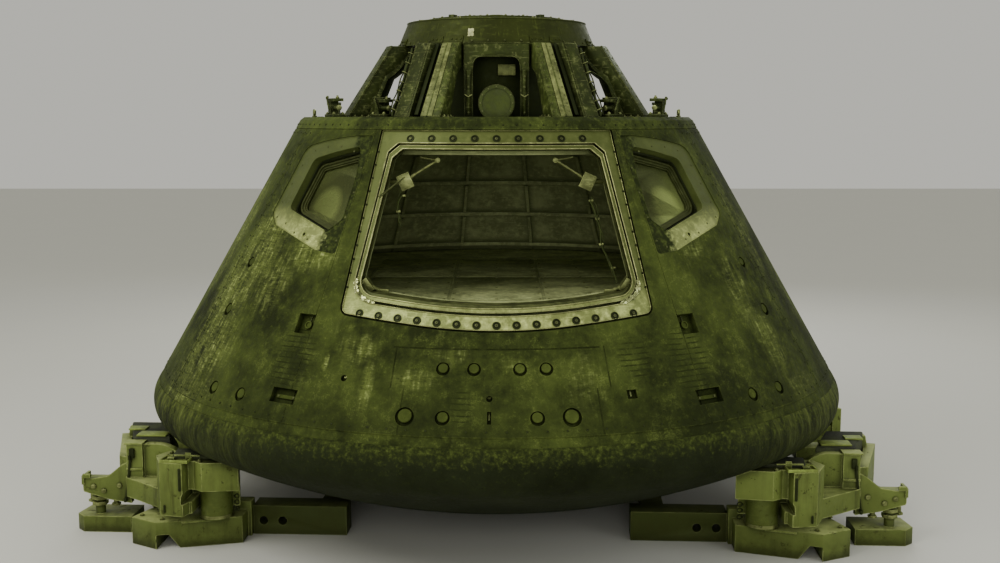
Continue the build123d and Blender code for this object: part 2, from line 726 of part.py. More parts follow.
def bar(start, end, radius):
    """A round bar between two points."""
    a = Vector(*start)
    b = Vector(*end)
    axis = (b - a).normalized()
    return Plane(origin=(a + b) * 0.5, z_dir=axis) * Cylinder(radius, (b - a).length)


def hatch_fittings():
    z = arm_box_height
    box_x = opening_half(z) - seal_groove - seal_width - arm_edge_gap
    base_y = inside_y(box_x + arm_box_size, z, cabin_inset + cabin_wall_thickness / 2)
    elbow = (box_x - 59.0, base_y, z + 44.0)
    tip = (box_x - 206.0, base_y, z + 134.0)
    top = (box_x - 97.0, base_y, z + 154.0)
    arm = bar((box_x, base_y, z), elbow, 12.0) + bar(elbow, tip, 9.0) + bar(tip, top, 8.0)
    arm = arm + Pos(*tip) * Cylinder(16.0, 26.0).rotate(Axis.X, 90)
    box = Box(arm_box_size, arm_box_depth, 100.0).rotate(Axis.Y, 24.0)
    stem = bar((box_x, base_y, z), (box_x + 190.0, base_y, z), 15.0)
    stem = stem - nodes["cabin_wall"] - nodes["hatch_reveal"]
    stem = stem.solids().sort_by(Axis.X)[0]
    arm = arm + Pos(box_x, base_y, z) * box + stem
    right, left = both_sides(arm.solids().sort_by(SortBy.VOLUME)[-1])
    save("hatch_arm_right", right)
    save("hatch_arm_left", left)
    low = hatch_bottom + flange_bottom_width + seal_groove + seal_width + reveal_wall
    latch_x = opening_half(low + latch_height) - seal_groove - seal_width - latch_edge_gap
    latch_y = inside_y(latch_x, low + latch_height, latch_inset)
    head = Pos(latch_x, latch_y, low + latch_height) * Box(58.0, 90.0, 86.0).rotate(Axis.Y, 34.0)
    foot_at = (latch_x - latch_foot_step, latch_y, low + latch_foot_height)
    link = bar((latch_x, latch_y, low + latch_height), foot_at, 15.0)
    foot = Pos(*foot_at) * Box(70.0, 50.0, 35.0)
    latch = head + link + foot - nodes["hatch_reveal"] - nodes["cabin_wall"] - nodes["hatch_seal_lip"]
    right, left = both_sides(latch.solids().sort_by(SortBy.VOLUME)[-1])
    save("hatch_latch_right", right)
    save("hatch_latch_left", left)


def place(solid, across, front):
    """One quarter of the cradle moved to its side and end, then turned with the whole cradle."""
    if across < 0:
        solid = solid.mirror(Plane.YZ)
    if front < 0:
        solid = solid.mirror(Plane.XZ)
    return solid.rotate(Axis.Z, cradle_turn)


# Quarters of the cradle: name, side along X, end along Y
quarters = (("front_right", 1, 1), ("front_left", -1, 1), ("rear_right", 1, -1), ("rear_left", -1, -1))

# The point under the shoulder that one quarter is laid out from
seat_x = max_radius * sin(radians(seat_azimuth))
seat_y = -max_radius * cos(radians(seat_azimuth))

# Plan outlines of the front right quarter, X outwards and Y to the rear of that point
block_plan = ((-672.0, -436.0), (-440.0, -470.0), (-376.0, -420.0), (-338.0, -420.0), (-318.0, -492.0),
              (-160.0, -460.0), (-90.0, -300.0), (-146.0, -190.0), (-600.0, -130.0))
shoe_plan = ((-640.0, -248.0), (-106.0, -408.0), (94.0, -298.0), (-16.0, -3.0), (-666.0, 57.0), (-666.0, -110.0),
             (-640.0, -110.0))
collar_plan = ((-666.0, -110.0), (-566.0, -110.0), (-566.0, -3.0), (-666.0, -3.0))
saddle_plan = ((-266.0, -293.0), (-100.0, -320.0), (194.0, -93.0), (404.0, 537.0), (174.0, 557.0), (-16.0, 57.0),
               (-286.0, -123.0))
wall_plan = ((186.0, -73.0), (250.0, -53.0), (444.0, 537.0), (374.0, 557.0))
post_plan = ((80.0, -83.0), (190.0, -83.0), (200.0, 7.0), (80.0, 7.0))
foot_plan = ((174.0, -83.0), (506.0, -83.0), (566.0, -23.0), (536.0, 177.0), (174.0, 177.0))
pad_plan = ((-86.0, 11.0), (174.0, 11.0), (334.0, 453.0), (74.0, 453.0))
front_pad_plan = ((-560.0, -380.0), (-230.0, -396.0), (-210.0, -233.0), (-550.0, -183.0))
roller_cut = ((-766.0, -420.0), (-335.0, -420.0), (-335.0, -228.0), (-766.0, -175.0))
jack_at = (414.0, -3.0)
roller_at = (-468.0, -243.0)
tab_reach = -356.0
mouth_reach = -305.0

# Side view of the outrigger arm: X from the seat point, height above the dish's bottom
arm_side = ((170.0, 145.0), (190.0, 430.0), (240.0, 405.0), (330.0, 330.0), (440.0, 312.0), (504.0, 322.0),
            (504.0, 222.0), (330.0, 170.0))
arm_radii = (1.0, 1.0, 60.0, 60.0, 60.0, 8.0, 20.0, 60.0)


def quarter_prism(points, low, high):
    return plan_prism([(seat_x + x, seat_y + y) for x, y in points], low, high)


def web_plate(inner, outer, near, top):
    """An upright plate whose top rounds off under the shoulder, placed from the seat point."""
    low = saddle_top - 10.0
    knee = (inner, 0, saddle_top + 60.0)
    crest = (inner + 220.0, 0, top)
    middle = (inner + 74.0, 0, top - 48.0)
    edges = [Line((inner, 0, low), knee), ThreePointArc(knee, middle, crest), Line(crest, (outer - 20.0, 0, top)),
             Line((outer - 20.0, 0, top), (outer + 24.0, 0, low)), Line((outer + 24.0, 0, low), (inner, 0, low))]
    plate = extrude(Face(Wire(edges)), amount=web_thickness, dir=(0, 1, 0))
    return Pos(seat_x, seat_y + near, 0) * plate


def yoke_block():
    """The C shaped block at the front: a column, an upper jaw and a short lower tab."""
    block = quarter_prism(block_plan, block_bottom, block_top)
    mouth = [(-900.0, tab_top - 300.0), (tab_reach, tab_top - 300.0), (tab_reach, tab_top), (mouth_reach, tab_top)]
    mouth += [(mouth_reach, mouth_top), (-900.0, mouth_top)]
    radii = [1.0, 1.0, 6.0, 1.0, mouth_radius, 1.0]
    mouth = [(seat_x + x, z) for x, z in mouth]
    return block - front_prism(mouth, seat_y - 700.0, seat_y - 232.0, radii)


def cradle():
    envelope = capsule_envelope()
    yoke = yoke_block() + quarter_prism(saddle_plan, saddle_bottom, saddle_top)
    yoke = yoke + web_plate(-216.0, 174.0, -53.0, front_web_top)
    yoke = yoke + web_plate(24.0, 374.0, 457.0, rear_web_top)
    yoke = yoke + quarter_prism(wall_plan, saddle_bottom, wall_top)
    yoke = yoke + quarter_prism(post_plan, saddle_bottom, front_web_top)
    arm = front_prism([(seat_x + x, dish_bottom + z) for x, z in arm_side], seat_y - 73.0, seat_y - 23.0, arm_radii)
    tail = Pos(seat_x + 330.0, seat_y - 13.0, dish_bottom + 262.0) * Box(340.0, 110.0, 92.0)
    yoke = yoke + arm + tail - envelope
    yoke = yoke.solids().sort_by(SortBy.VOLUME)[-1]
    side_pad = quarter_prism(pad_plan, saddle_top, pad_top) - envelope - yoke
    front_pad = quarter_prism(front_pad_plan, block_top, pad_top) - envelope
    shoe = quarter_prism(shoe_plan, 0.0, shoe_top)
    notch = [(-256.0, -10.0), (-106.0, -10.0), (-106.0, notch_height), (-181.0, notch_height)]
    shoe = shoe - front_prism([(seat_x + x, z) for x, z in notch], seat_y - 700.0, seat_y + 400.0)
    shoe = shoe + quarter_prism(collar_plan, shoe_top, shoe_top + shoe_collar_rise)
    roller_tall = mouth_top - shoe_top
    roller = Pos(seat_x + roller_at[0], seat_y + roller_at[1], shoe_top + roller_tall / 2)
    roller = roller * Cylinder(roller_radius, roller_tall)
    roller = (roller & quarter_prism(roller_cut, 0.0, block_top)) - shoe - yoke
    foot = quarter_prism(foot_plan, 0.0, foot_height)
    jack_top = 2 * block_top
    jack = Pos(seat_x + jack_at[0], seat_y + jack_at[1], jack_top / 2) * Cylinder(screw_jack_radius, jack_top)
    foot = foot + (jack - yoke).solids().sort_by(Axis.Z)[0]
    shoe_parts = []
    foot_parts = []
    pad_parts = []
    roller_parts = []
    for name, across, front in quarters:
        save("cradle_yoke_" + name, place(yoke, across, front))
        shoe_parts.append(place(shoe, across, front))
        foot_parts.append(place(foot, across, front))
        roller_parts.append(place(roller, across, front))
        pad_parts.append(place(side_pad.solids().sort_by(SortBy.VOLUME)[-1], across, front))
        pad_parts.append(place(front_pad.solids().sort_by(SortBy.VOLUME)[-1], across, front))
    save("cradle_shoes", *shoe_parts)
    save("cradle_feet", *foot_parts)
    save("cradle_pads", *pad_parts)
    save("cradle_rollers", *roller_parts)


# Bores through each beam, counted inwards from the shoe
beam_hole_steps = (70.0, 200.0)


def cradle_base():
    """Four bored beams, two rails between them and a low tie under the dish."""
    beam_outer = seat_x - 666.0 - seat_clearance
    length = beam_outer - beam_inner
    beam = Pos(beam_inner + length / 2, -beam_front + beam_width / 2, beam_height / 2)
    beam = beam * Box(length, beam_width, beam_height)
    for step in beam_hole_steps:
        hole = Cylinder(beam_hole_radius, 2 * beam_width).rotate(Axis.X, 90)
        beam = beam - Pos(beam_outer - step, -beam_front + beam_width / 2, beam_hole_height) * hole
    save("cradle_beams", *[place(beam, across, front) for name, across, front in quarters])
    rail_length = 2 * (beam_front - beam_width - seat_clearance)
    rails = []
    for side in (1, -1):
        rail = Pos(side * rail_centre, 0, rail_height / 2) * Box(rail_width, rail_length, rail_height)
        rails.append(rail.rotate(Axis.Z, cradle_turn))
    save("cradle_rails", *rails)
    tie_length = 2 * (rail_centre - rail_width / 2 - seat_clearance)
    tie = Pos(0, 0, tie_height / 2) * Box(tie_length, tie_width, tie_height)
    save("cradle_tie", tie.rotate(Axis.Z, cradle_turn))


if __name__ == "__main__":
    heat_shield()
    shoulder_band()
    backshell()
    windows()
    rim_and_deck()
    hatch()
    cabin()
    forward_bay()
    gussets()
    front_bay()
    deck_fittings()
    docking_hardware()
    hatch_fittings()
    cradle()
    cradle_base()
    for name, shape in nodes.items():
        box = shape.bounding_box()
        print(name, round(shape.volume / 1e6, 2), [round(v) for v in tuple(box.min) + tuple(box.max)], shape.is_valid)
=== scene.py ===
from math import asin, atan2, cos, degrees, hypot, pi, radians, sin

import bmesh
import bpy
from bpy.props import FloatProperty, FloatVectorProperty, IntProperty, PointerProperty
from mathutils import Matrix, Vector
from mathutils.geometry import intersect_line_line
from mathutils.noise import seed_set, turbulence, turbulence_vector


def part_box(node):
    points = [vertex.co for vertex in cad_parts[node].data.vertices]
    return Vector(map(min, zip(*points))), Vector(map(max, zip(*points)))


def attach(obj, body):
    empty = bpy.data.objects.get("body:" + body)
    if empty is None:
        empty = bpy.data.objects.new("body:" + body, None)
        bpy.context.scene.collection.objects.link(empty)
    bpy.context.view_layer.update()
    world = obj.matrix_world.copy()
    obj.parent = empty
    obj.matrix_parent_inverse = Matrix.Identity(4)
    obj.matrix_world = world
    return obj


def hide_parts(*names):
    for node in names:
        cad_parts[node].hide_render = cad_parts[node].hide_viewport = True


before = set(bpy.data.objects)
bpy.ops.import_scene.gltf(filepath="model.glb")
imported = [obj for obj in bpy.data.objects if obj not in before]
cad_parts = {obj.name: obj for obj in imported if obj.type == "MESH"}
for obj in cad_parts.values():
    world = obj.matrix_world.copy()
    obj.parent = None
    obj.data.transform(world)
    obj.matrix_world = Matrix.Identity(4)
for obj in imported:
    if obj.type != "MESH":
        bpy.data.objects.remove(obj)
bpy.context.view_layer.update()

bl_info = {
    "name": "Space capsule on its cradle",
    "version": (1, 0, 0),
    "blender": (4, 5, 0),
    "location": "View3D > Sidebar > Capsule",
    "description": "Dresses a crew capsule and its recovery cradle with finishes, fasteners and fittings",
    "category": "Object",
}


# ---------------------------------------------------------------- the hull, read from the frame

SIDE_LOW, SIDE_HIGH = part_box("side_panel_right")
RIM_LOW, RIM_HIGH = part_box("rim_band")
FOOT_RADIUS, FOOT_Z = SIDE_HIGH.x, SIDE_LOW.z
RIM_RADIUS, RIM_Z = RIM_HIGH.x, RIM_LOW.z
HULL_SLOPE = (FOOT_RADIUS - RIM_RADIUS) / (RIM_Z - FOOT_Z)
HULL_ANGLE = atan2(FOOT_RADIUS - RIM_RADIUS, RIM_Z - FOOT_Z)
DECK_Z = RIM_HIGH.z
RING_LOW, RING_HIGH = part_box("top_ring")


def hull_radius(z, inset=0.0):
    """Radius of the conical hull at a height, less an inset measured square to it."""
    return FOOT_RADIUS - (z - FOOT_Z) * HULL_SLOPE - inset / cos(HULL_ANGLE)


def hull_place(azimuth, z, inset=0.0):
    """A matrix on the hull: Z points out of it, Y up its slope. Azimuth in degrees from the hatch."""
    angle = radians(azimuth)
    radius = hull_radius(z, inset)
    out = Vector((cos(HULL_ANGLE) * sin(angle), -cos(HULL_ANGLE) * cos(angle), sin(HULL_ANGLE)))
    along = Vector((cos(angle), sin(angle), 0.0))
    matrix = Matrix((along, out.cross(along), out)).transposed().to_4x4()
    matrix.translation = (radius * sin(angle), -radius * cos(angle), z)
    return matrix


def front_place(x, z, inset=0.0):
    """The same matrix for a point given by its width and height, seen from the front."""
    return hull_place(degrees(asin(x / hull_radius(z, inset))), z, inset)


def ring_place(azimuth, radius, z, tip=0.0):
    """A matrix on a circle about the axis: Z up, or tipped outwards, and Y towards the axis."""
    matrix = Matrix.Rotation(radians(azimuth), 4, "Z") @ Matrix.Translation((0.0, -radius, z))
    return matrix @ Matrix.Rotation(radians(tip), 4, "X")


def flat_place(x, y, z, axis="Z", turn=0.0):
    """A matrix at a point, turned about one axis by degrees."""
    return Matrix.Translation((x, y, z)) @ Matrix.Rotation(radians(turn), 4, axis)


# ---------------------------------------------------------------- sizes and colours


def length(name, description, default):
    return FloatProperty(name=name, description=description, default=default, min=0.0, unit="LENGTH")


def tint(name, description, default):
    return FloatVectorProperty(name=name, description=description, default=default, size=3, min=0.0, max=1.0,
                               subtype="COLOR")


class CapsuleColours(bpy.types.PropertyGroup):
    """Base colours of the finishes."""

    char_dark: tint("Char, dark", "Darkest tone of the scorched skin", (0.0135, 0.0182, 0.0050))
    char_mid: tint("Char, middle", "Middle tone of the scorched skin", (0.0560, 0.0750, 0.0160))
    char_light: tint("Char, light", "Tone where the scorched skin is rubbed bare", (0.1480, 0.1850, 0.0430))
    char_pale: tint("Char, pale", "Palest scratches on the skin", (0.3650, 0.4250, 0.1450))
    shield: tint("Heat shield", "Tone of the charred shield under the capsule", (0.0145, 0.0188, 0.0082))
    pale_metal: tint("Pale metal", "Tone of the hatch frame and the window surrounds", (0.455, 0.510, 0.1750))
    bare_metal: tint("Bare metal", "Tone of small fittings and bolts", (0.240, 0.265, 0.1000))
    dark_metal: tint("Dark metal", "Tone of blackened bolts and holes", (0.0200, 0.0250, 0.0080))
    bay_metal: tint("Bay metal", "Tone of the frames in the forward bay", (0.0370, 0.0500, 0.0102))
    glass: tint("Window haze", "Tone of the hazed panes", (0.190, 0.232, 0.0680))
    lining: tint("Cabin lining", "Tone of the cabin's walls", (0.380, 0.420, 0.1900))
    cradle: tint("Cradle paint", "Tone of the cradle's paint", (0.152, 0.195, 0.0450))
    rust: tint("Cradle rust", "Tone where the cradle's paint has gone", (0.0380, 0.0430, 0.0110))
    rubber: tint("Rubber", "Tone of the cradle's pads", (0.0140, 0.0170, 0.0065))


class CapsuleSizes(bpy.types.PropertyGroup):
    """Sizes of the fittings that a user would change."""

    cup_radius: length("Hatch cup radius", "Radius of the cups round the hatch bolts", 0.0245)
    bolt_radius: length("Hatch bolt radius", "Radius of the hatch bolts' heads", 0.0092)
    screw_radius: length("Small screw radius", "Radius of the small screws on the hull", 0.0065)
    top_bolts: IntProperty(name="Top bolts", description="Bolts along the top of the hatch", default=9, min=3)
    sill_bolts: IntProperty(name="Sill bolts", description="Bolts along the hatch's sill", default=15, min=3)
    harness_radius: length("Harness radius", "Radius of the bundled wires", 0.0090)
    edge_round: length("Edge rounding", "Width of the rounded edges on the cradle", 0.0070)


class CapsuleStudio(bpy.types.PropertyGroup):
    """The camera, the floor and the light."""

    lens: FloatProperty(name="Lens", description="Focal length of the camera", default=43.6, unit="CAMERA")
    distance: length("Camera distance", "Distance of the camera from the axis", 9.0)
    height: length("Camera height", "Height of the camera over the floor", 2.809)
    floor_size: length("Floor size", "Length of the floor's sides", 80.0)
    floor_tone: tint("Floor tone", "Colour of the floor", (0.62, 0.62, 0.56))
    key_power: FloatProperty(name="Key light", description="Power of the large soft light", default=620.0,
                             unit="POWER")


def sizes():
    return bpy.context.scene.capsule_sizes


def colours():
    return bpy.context.scene.capsule_colours


# ---------------------------------------------------------------- modelling, as by hand

# Points nearer than this in a solid's mesh are one
SAME_POINT = 0.00005

# How far a fitting stands off the face under it, or is sunk in it, so that no two faces share a plane;
# the second is for flat screws
CLEAR, THIN_CLEAR = 0.0005, 0.0003

# The two sides, as a sign and as the end of a name
SIDES = ((1, "right"), (-1, "left"))

# Heads of bolts and screws: radius, height, socket's radius, socket's depth, sides
HEADS = {
    "window_screws": (0.0060, 0.0030, 0.0026, 0.002, 14),
    "slot_plate_screws": (0.008, 0.004, 0.0035, 0.002, 14),
    "drain_screws": (0.011, 0.010, 0.0045, 0.005, 18),
    "gusset_screws": (0.0056, 0.0032, 0.0024, 0.0018, 12),
    "bay_arch_screws": (0.007, 0.004, 0.003, 0.002, 12),
    "canister_bolts": (0.0055, 0.0035, 0.0022, 0.002, 10),
    "deck_screws": (0.0075, 0.0032, 0.003, 0.0018, 12),
    "ring_lower_bolts": (0.0075, 0.0050, 0.0034, 0.003, 14),
    "ring_plate_bolts": (0.0080, 0.0040, 0.0034, 0.002, 14),
    "lid_screws": (0.0075, 0.0045, 0.0034, 0.002, 14),
    "cabin_floor_screws": (0.009, 0.0035, 0.004, 0.002, 12),
}

# Nuts on studs: radius, height, stud's radius, how far the stud stands out
NUTS = {
    "deck_nuts": (0.013, 0.010, 0.006, 0.006),
    "deck_stud_nuts": (0.013, 0.010, 0.007, 0.010),
    "deck_pins": (0.021, 0.012, 0.010, 0.003),
    "docking_ring_nuts": (0.0090, 0.006, 0.0045, 0.003),
    "latch_nuts": (0.0095, 0.007, 0.005, 0.003),
}


def outward(place):
    """The way the Z axis of a place points."""
    return place.to_3x3() @ Vector((0.0, 0.0, 1.0))


def choose(*pieces):
    """Selects these pieces alone and makes the first one active."""
    for piece in list(bpy.context.selected_objects):
        piece.select_set(False)
    for piece in pieces:
        piece.select_set(True)
    if pieces:
        bpy.context.view_layer.objects.active = pieces[0]


def start(primitive, **values):
    """Adds a primitive with nothing else selected and returns it."""
    choose()
    primitive(**values)
    return bpy.context.object


def settle(piece, place=None):
    """Puts a piece at a place, if one is given, and leaves its place, turn and size in its mesh."""
    if place is not None:
        piece.matrix_world = place
        bpy.context.view_layer.update()
    choose(piece)
    bpy.ops.object.transform_apply(location=True, rotation=True, scale=True)
    return piece


def select_where(piece, kind, test):
    """In edit mode, selects the faces, edges or vertices that pass a test."""
    bpy.ops.mesh.select_mode(type=kind)
    bpy.ops.mesh.select_all(action="DESELECT")
    mesh = bmesh.from_edit_mesh(piece.data)
    for element in {"VERT": mesh.verts, "EDGE": mesh.edges, "FACE": mesh.faces}[kind]:
        if test(element):
            element.select_set(True)
    mesh.select_flush_mode()
    bmesh.update_edit_mesh(piece.data)


def open_edit(piece, kind=None, test=None):
    """Opens a piece's mesh, with what passes the test selected."""
    choose(piece)
    bpy.ops.object.mode_set(mode="EDIT")
    if kind:
        select_where(piece, kind, test)


def close_edit():
    bpy.ops.object.mode_set(mode="OBJECT")


def extrude(value):
    bpy.ops.mesh.extrude_region_move(TRANSFORM_OT_translate={"value": value})


def shape_top(piece, *steps):
    """Works a piece's upper face: each step insets it by a width, then moves it up or pulls a new face up."""
    open_edit(piece, "FACE", lambda face: face.normal.z > 0.9)
    for width, way, rise in steps:
        bpy.ops.mesh.inset(thickness=width)
        if way == "move":
            bpy.ops.transform.translate(value=(0.0, 0.0, rise))
        else:
            extrude((0.0, 0.0, rise))
    close_edit()


def apply_modifier(piece, kind, **settings):
    """Adds a modifier, sets it and applies it."""
    modifier = piece.modifiers.new(kind.title(), kind)
    for name, value in settings.items():
        setattr(modifier, name, value)
    choose(piece)
    bpy.ops.object.modifier_apply(modifier=modifier.name)


def round_edges(piece, width, segments=2, angle=35.0):
    apply_modifier(piece, "BEVEL", width=width, segments=segments, limit_method="ANGLE",
                   angle_limit=radians(angle), use_clamp_overlap=True, harden_normals=False)


def finish_named(name):
    return bpy.data.materials["finish_" + name]


def complete(piece, name, material, body="capsule", smooth=32.0):
    """Names a finished piece, puts its place in its mesh, and gives it its finish and its body."""
    piece.name = name
    piece.data.name = name
    settle(piece)
    bpy.ops.object.shade_smooth_by_angle(angle=radians(smooth))
    piece.data.materials.clear()
    piece.data.materials.append(finish_named(material))
    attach(piece, body)
    return piece


def join(pieces):
    """Joins several pieces into the first one."""
    bpy.context.view_layer.update()
    choose(*pieces)
    if len(pieces) > 1:
        bpy.ops.object.join()
    return pieces[0]


def stamp(pattern, places, name, material, body="capsule"):
    """Copies a pattern to each place, each copy with its own mesh, joins them and completes them."""
    copies = []
    for place in places:
        copy = bpy.data.objects.new(name, pattern.data.copy())
        bpy.context.collection.objects.link(copy)
        copy.matrix_world = place @ pattern.matrix_world
        copies.append(copy)
    bpy.data.objects.remove(pattern)
    return complete(join(copies), name, material, body)


def weld(piece, distance=0.00002):
    """Merges doubles and turns the faces outwards."""
    open_edit(piece)
    bpy.ops.mesh.select_all(action="SELECT")
    bpy.ops.mesh.remove_doubles(threshold=distance)
    bpy.ops.mesh.normals_make_consistent(inside=False)
    close_edit()


def block(size_x, size_y, size_z, place=(0.0, 0.0, 0.0), rounding=0.002, segments=2):
    """A box with rounded edges, standing with its middle at a place."""
    piece = start(bpy.ops.mesh.primitive_cube_add, size=1.0, location=place)
    piece.scale = (size_x, size_y, size_z)
    settle(piece)
    if rounding:
        round_edges(piece, rounding, segments)
    return piece


def blocks(*rows):
    """Joined boxes: each row has a size, a middle, a rounding, and any axis and degrees of turn."""
    pieces = []
    for size, place, rounding, *turn in rows:
        if turn:
            pieces.append(settle(block(*size, rounding=rounding), flat_place(*place, *turn)))
        else:
            pieces.append(block(*size, place, rounding))
    return join(pieces)


def strip(size_x, size_y, size_z, rounding=0.0015):
    """A flat bar with rounded edges, lying on Z = 0 with its length along Y."""
    return block(size_x, size_y, size_z, (0.0, 0.0, size_z / 2), rounding)


def drum(sides, radius, height, place=(0.0, 0.0, 0.0)):
    """A cylinder standing on a place."""
    x, y, z = place
    return settle(start(bpy.ops.mesh.primitive_cylinder_add, vertices=sides, radius=radius, depth=height,
                        location=(x, y, z + height / 2)))


def tube(points, radius, bow, sides):
    """A round tube along points, as a mesh with capped ends."""
    curve = bpy.data.curves.new("tube", "CURVE")
    curve.dimensions = "3D"
    curve.bevel_depth = radius
    curve.bevel_resolution = sides
    curve.use_fill_caps = True
    spline = curve.splines.new("NURBS")
    spline.points.add(len(points) - 1)
    for point, co in zip(spline.points, points):
        point.co = (*co, 1.0)
    spline.order_u = 3
    spline.resolution_u = bow
    spline.use_endpoint_u = True
    piece = bpy.data.objects.new("tube", curve)
    bpy.context.collection.objects.link(piece)
    choose(piece)
    bpy.ops.object.convert(target="MESH")
    piece = bpy.context.object
    weld(piece)
    return piece


def turned_ring(inner, outer, low, high, steps=128):
    """A ring about the Z axis with a square section: one quad, spun all the way round."""
    piece = start(bpy.ops.mesh.primitive_plane_add, size=1.0, rotation=(pi / 2, 0.0, 0.0),
                  location=((inner + outer) / 2, 0.0, (low + high) / 2))
    piece.scale = (outer - inner, high - low, 1.0)
    settle(piece)
    open_edit(piece)
    bpy.ops.mesh.select_all(action="SELECT")
    bpy.ops.mesh.spin(steps=steps, angle=2 * pi, center=(0.0, 0.0, 0.0), axis=(0.0, 0.0, 1.0))
    close_edit()
    weld(piece, 0.0001)
    clean_inside(piece)
    return piece


def clean_inside(piece):
    """Deletes faces inside a spun ring, which the spin leaves where it closes."""
    open_edit(piece)
    bpy.ops.mesh.select_mode(type="EDGE")
    bpy.ops.mesh.select_all(action="DESELECT")
    mesh = bmesh.from_edit_mesh(piece.data)
    inside = [face for face in mesh.faces if all(len(edge.link_faces) > 2 for edge in face.edges)]
    for face in inside:
        face.select_set(True)
    bmesh.update_edit_mesh(piece.data)
    bpy.ops.mesh.select_mode(type="FACE")
    if inside:
        bpy.ops.mesh.delete(type="ONLY_FACE")
    bpy.ops.mesh.select_all(action="SELECT")
    bpy.ops.mesh.normals_make_consistent(inside=False)
    close_edit()


def open_copy(node, name):
    """A copy of a solid's mesh, welded, and open in edit mode with all of it selected."""
    piece = bpy.data.objects.new(name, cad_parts[node].data.copy())
    bpy.context.collection.objects.link(piece)
    choose(piece)
    bpy.ops.mesh.customdata_custom_splitnormals_clear()
    open_edit(piece)
    bpy.ops.mesh.select_all(action="SELECT")
    bpy.ops.mesh.remove_doubles(threshold=SAME_POINT)
    return piece


def dress(node, name, material, width):
    """A copy of a solid with rounded edges, which stands for it."""
    piece = open_copy(node, name)
    bpy.ops.mesh.normals_make_consistent(inside=False)
    bpy.ops.mesh.dissolve_limited(angle_limit=radians(0.8))
    close_edit()
    round_edges(piece, width, angle=38.0)
    complete(piece, name, material)
    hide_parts(node)


def faces_cone(face):
    """Faces that lie along the cone and look outwards."""
    x, y, _ = face.calc_center_median()
    radius = hypot(x, y)
    out = Vector((cos(HULL_ANGLE) * x / radius, cos(HULL_ANGLE) * y / radius, sin(HULL_ANGLE)))
    return face.normal.dot(out) > 0.95


def bead(node, name, material, radius, face_test):
    """A round bead laid along the outline of some faces of a solid."""
    piece = open_copy(node, name)
    select_where(piece, "FACE", face_test)
    bpy.ops.mesh.region_to_loop()
    bpy.ops.mesh.mark_seam()
    bpy.ops.mesh.select_all(action="SELECT")
    bpy.ops.mesh.delete(type="ONLY_FACE")
    select_where(piece, "EDGE", lambda edge: not edge.seam)
    bpy.ops.mesh.delete(type="EDGE")
    close_edit()
    bpy.ops.object.convert(target="CURVE")
    piece = bpy.context.object
    piece.data.bevel_depth = radius
    piece.data.bevel_resolution = 2
    bpy.ops.object.convert(target="MESH")
    complete(bpy.context.object, name, material, smooth=45.0)


def bolt(radius, height, socket, depth, sides):
    """A bolt head with a chamfered rim and a round socket, standing on Z = 0."""
    piece = drum(sides, radius, height)
    shape_top(piece, (radius * 0.14, "move", height * 0.14), (radius * 0.86 - socket, "pull", -depth))
    return piece


def hexagon_nut(radius, height, stud, rise):
    """A six-sided nut with a stud through it, standing on Z = 0."""
    piece = drum(6, radius, height)
    round_edges(piece, radius * 0.09)
    shank = drum(16, stud, rise + height * 0.6, (0.0, 0.0, height * 0.4))
    round_edges(shank, stud * 0.2, 1)
    return join([piece, shank])


def eye_bolt(ring, bar, rise):
    """A ring on a shank with a collar, standing on Z = 0."""
    eye = settle(start(bpy.ops.mesh.primitive_torus_add, major_radius=ring, minor_radius=bar, major_segments=24,
                       minor_segments=10, rotation=(pi / 2, 0.0, 0.0), location=(0.0, 0.0, rise + ring)))
    collar = drum(20, bar * 2.2, rise)
    round_edges(collar, bar * 0.4, 1)
    return join([eye, collar])


def set_heads(name, material, places, body="capsule"):
    """Sets a listed bolt head at each place."""
    stamp(bolt(*HEADS[name]), places, name, material, body)


def set_nuts(name, places):
    """Sets a listed nut at each place."""
    stamp(hexagon_nut(*NUTS[name]), places, name, "bare_metal")


# ---------------------------------------------------------------- finishes


def times(colour, share):
    """A colour with each of its parts multiplied, and none over 1."""
    return tuple(min(1.0, value * share) for value in colour)


class Value:
    """An output of a finish's node that can be reckoned with: each sign adds a node."""

    def __init__(self, finish, socket):
        self.finish = finish
        self.socket = socket

    def __add__(self, other):
        return self.finish.math("ADD", self, other)

    def __sub__(self, other):
        return self.finish.math("SUBTRACT", self, other)

    def __mul__(self, other):
        return self.finish.math("MULTIPLY", self, other)

    def __abs__(self):
        return self.finish.math("ABSOLUTE", self)


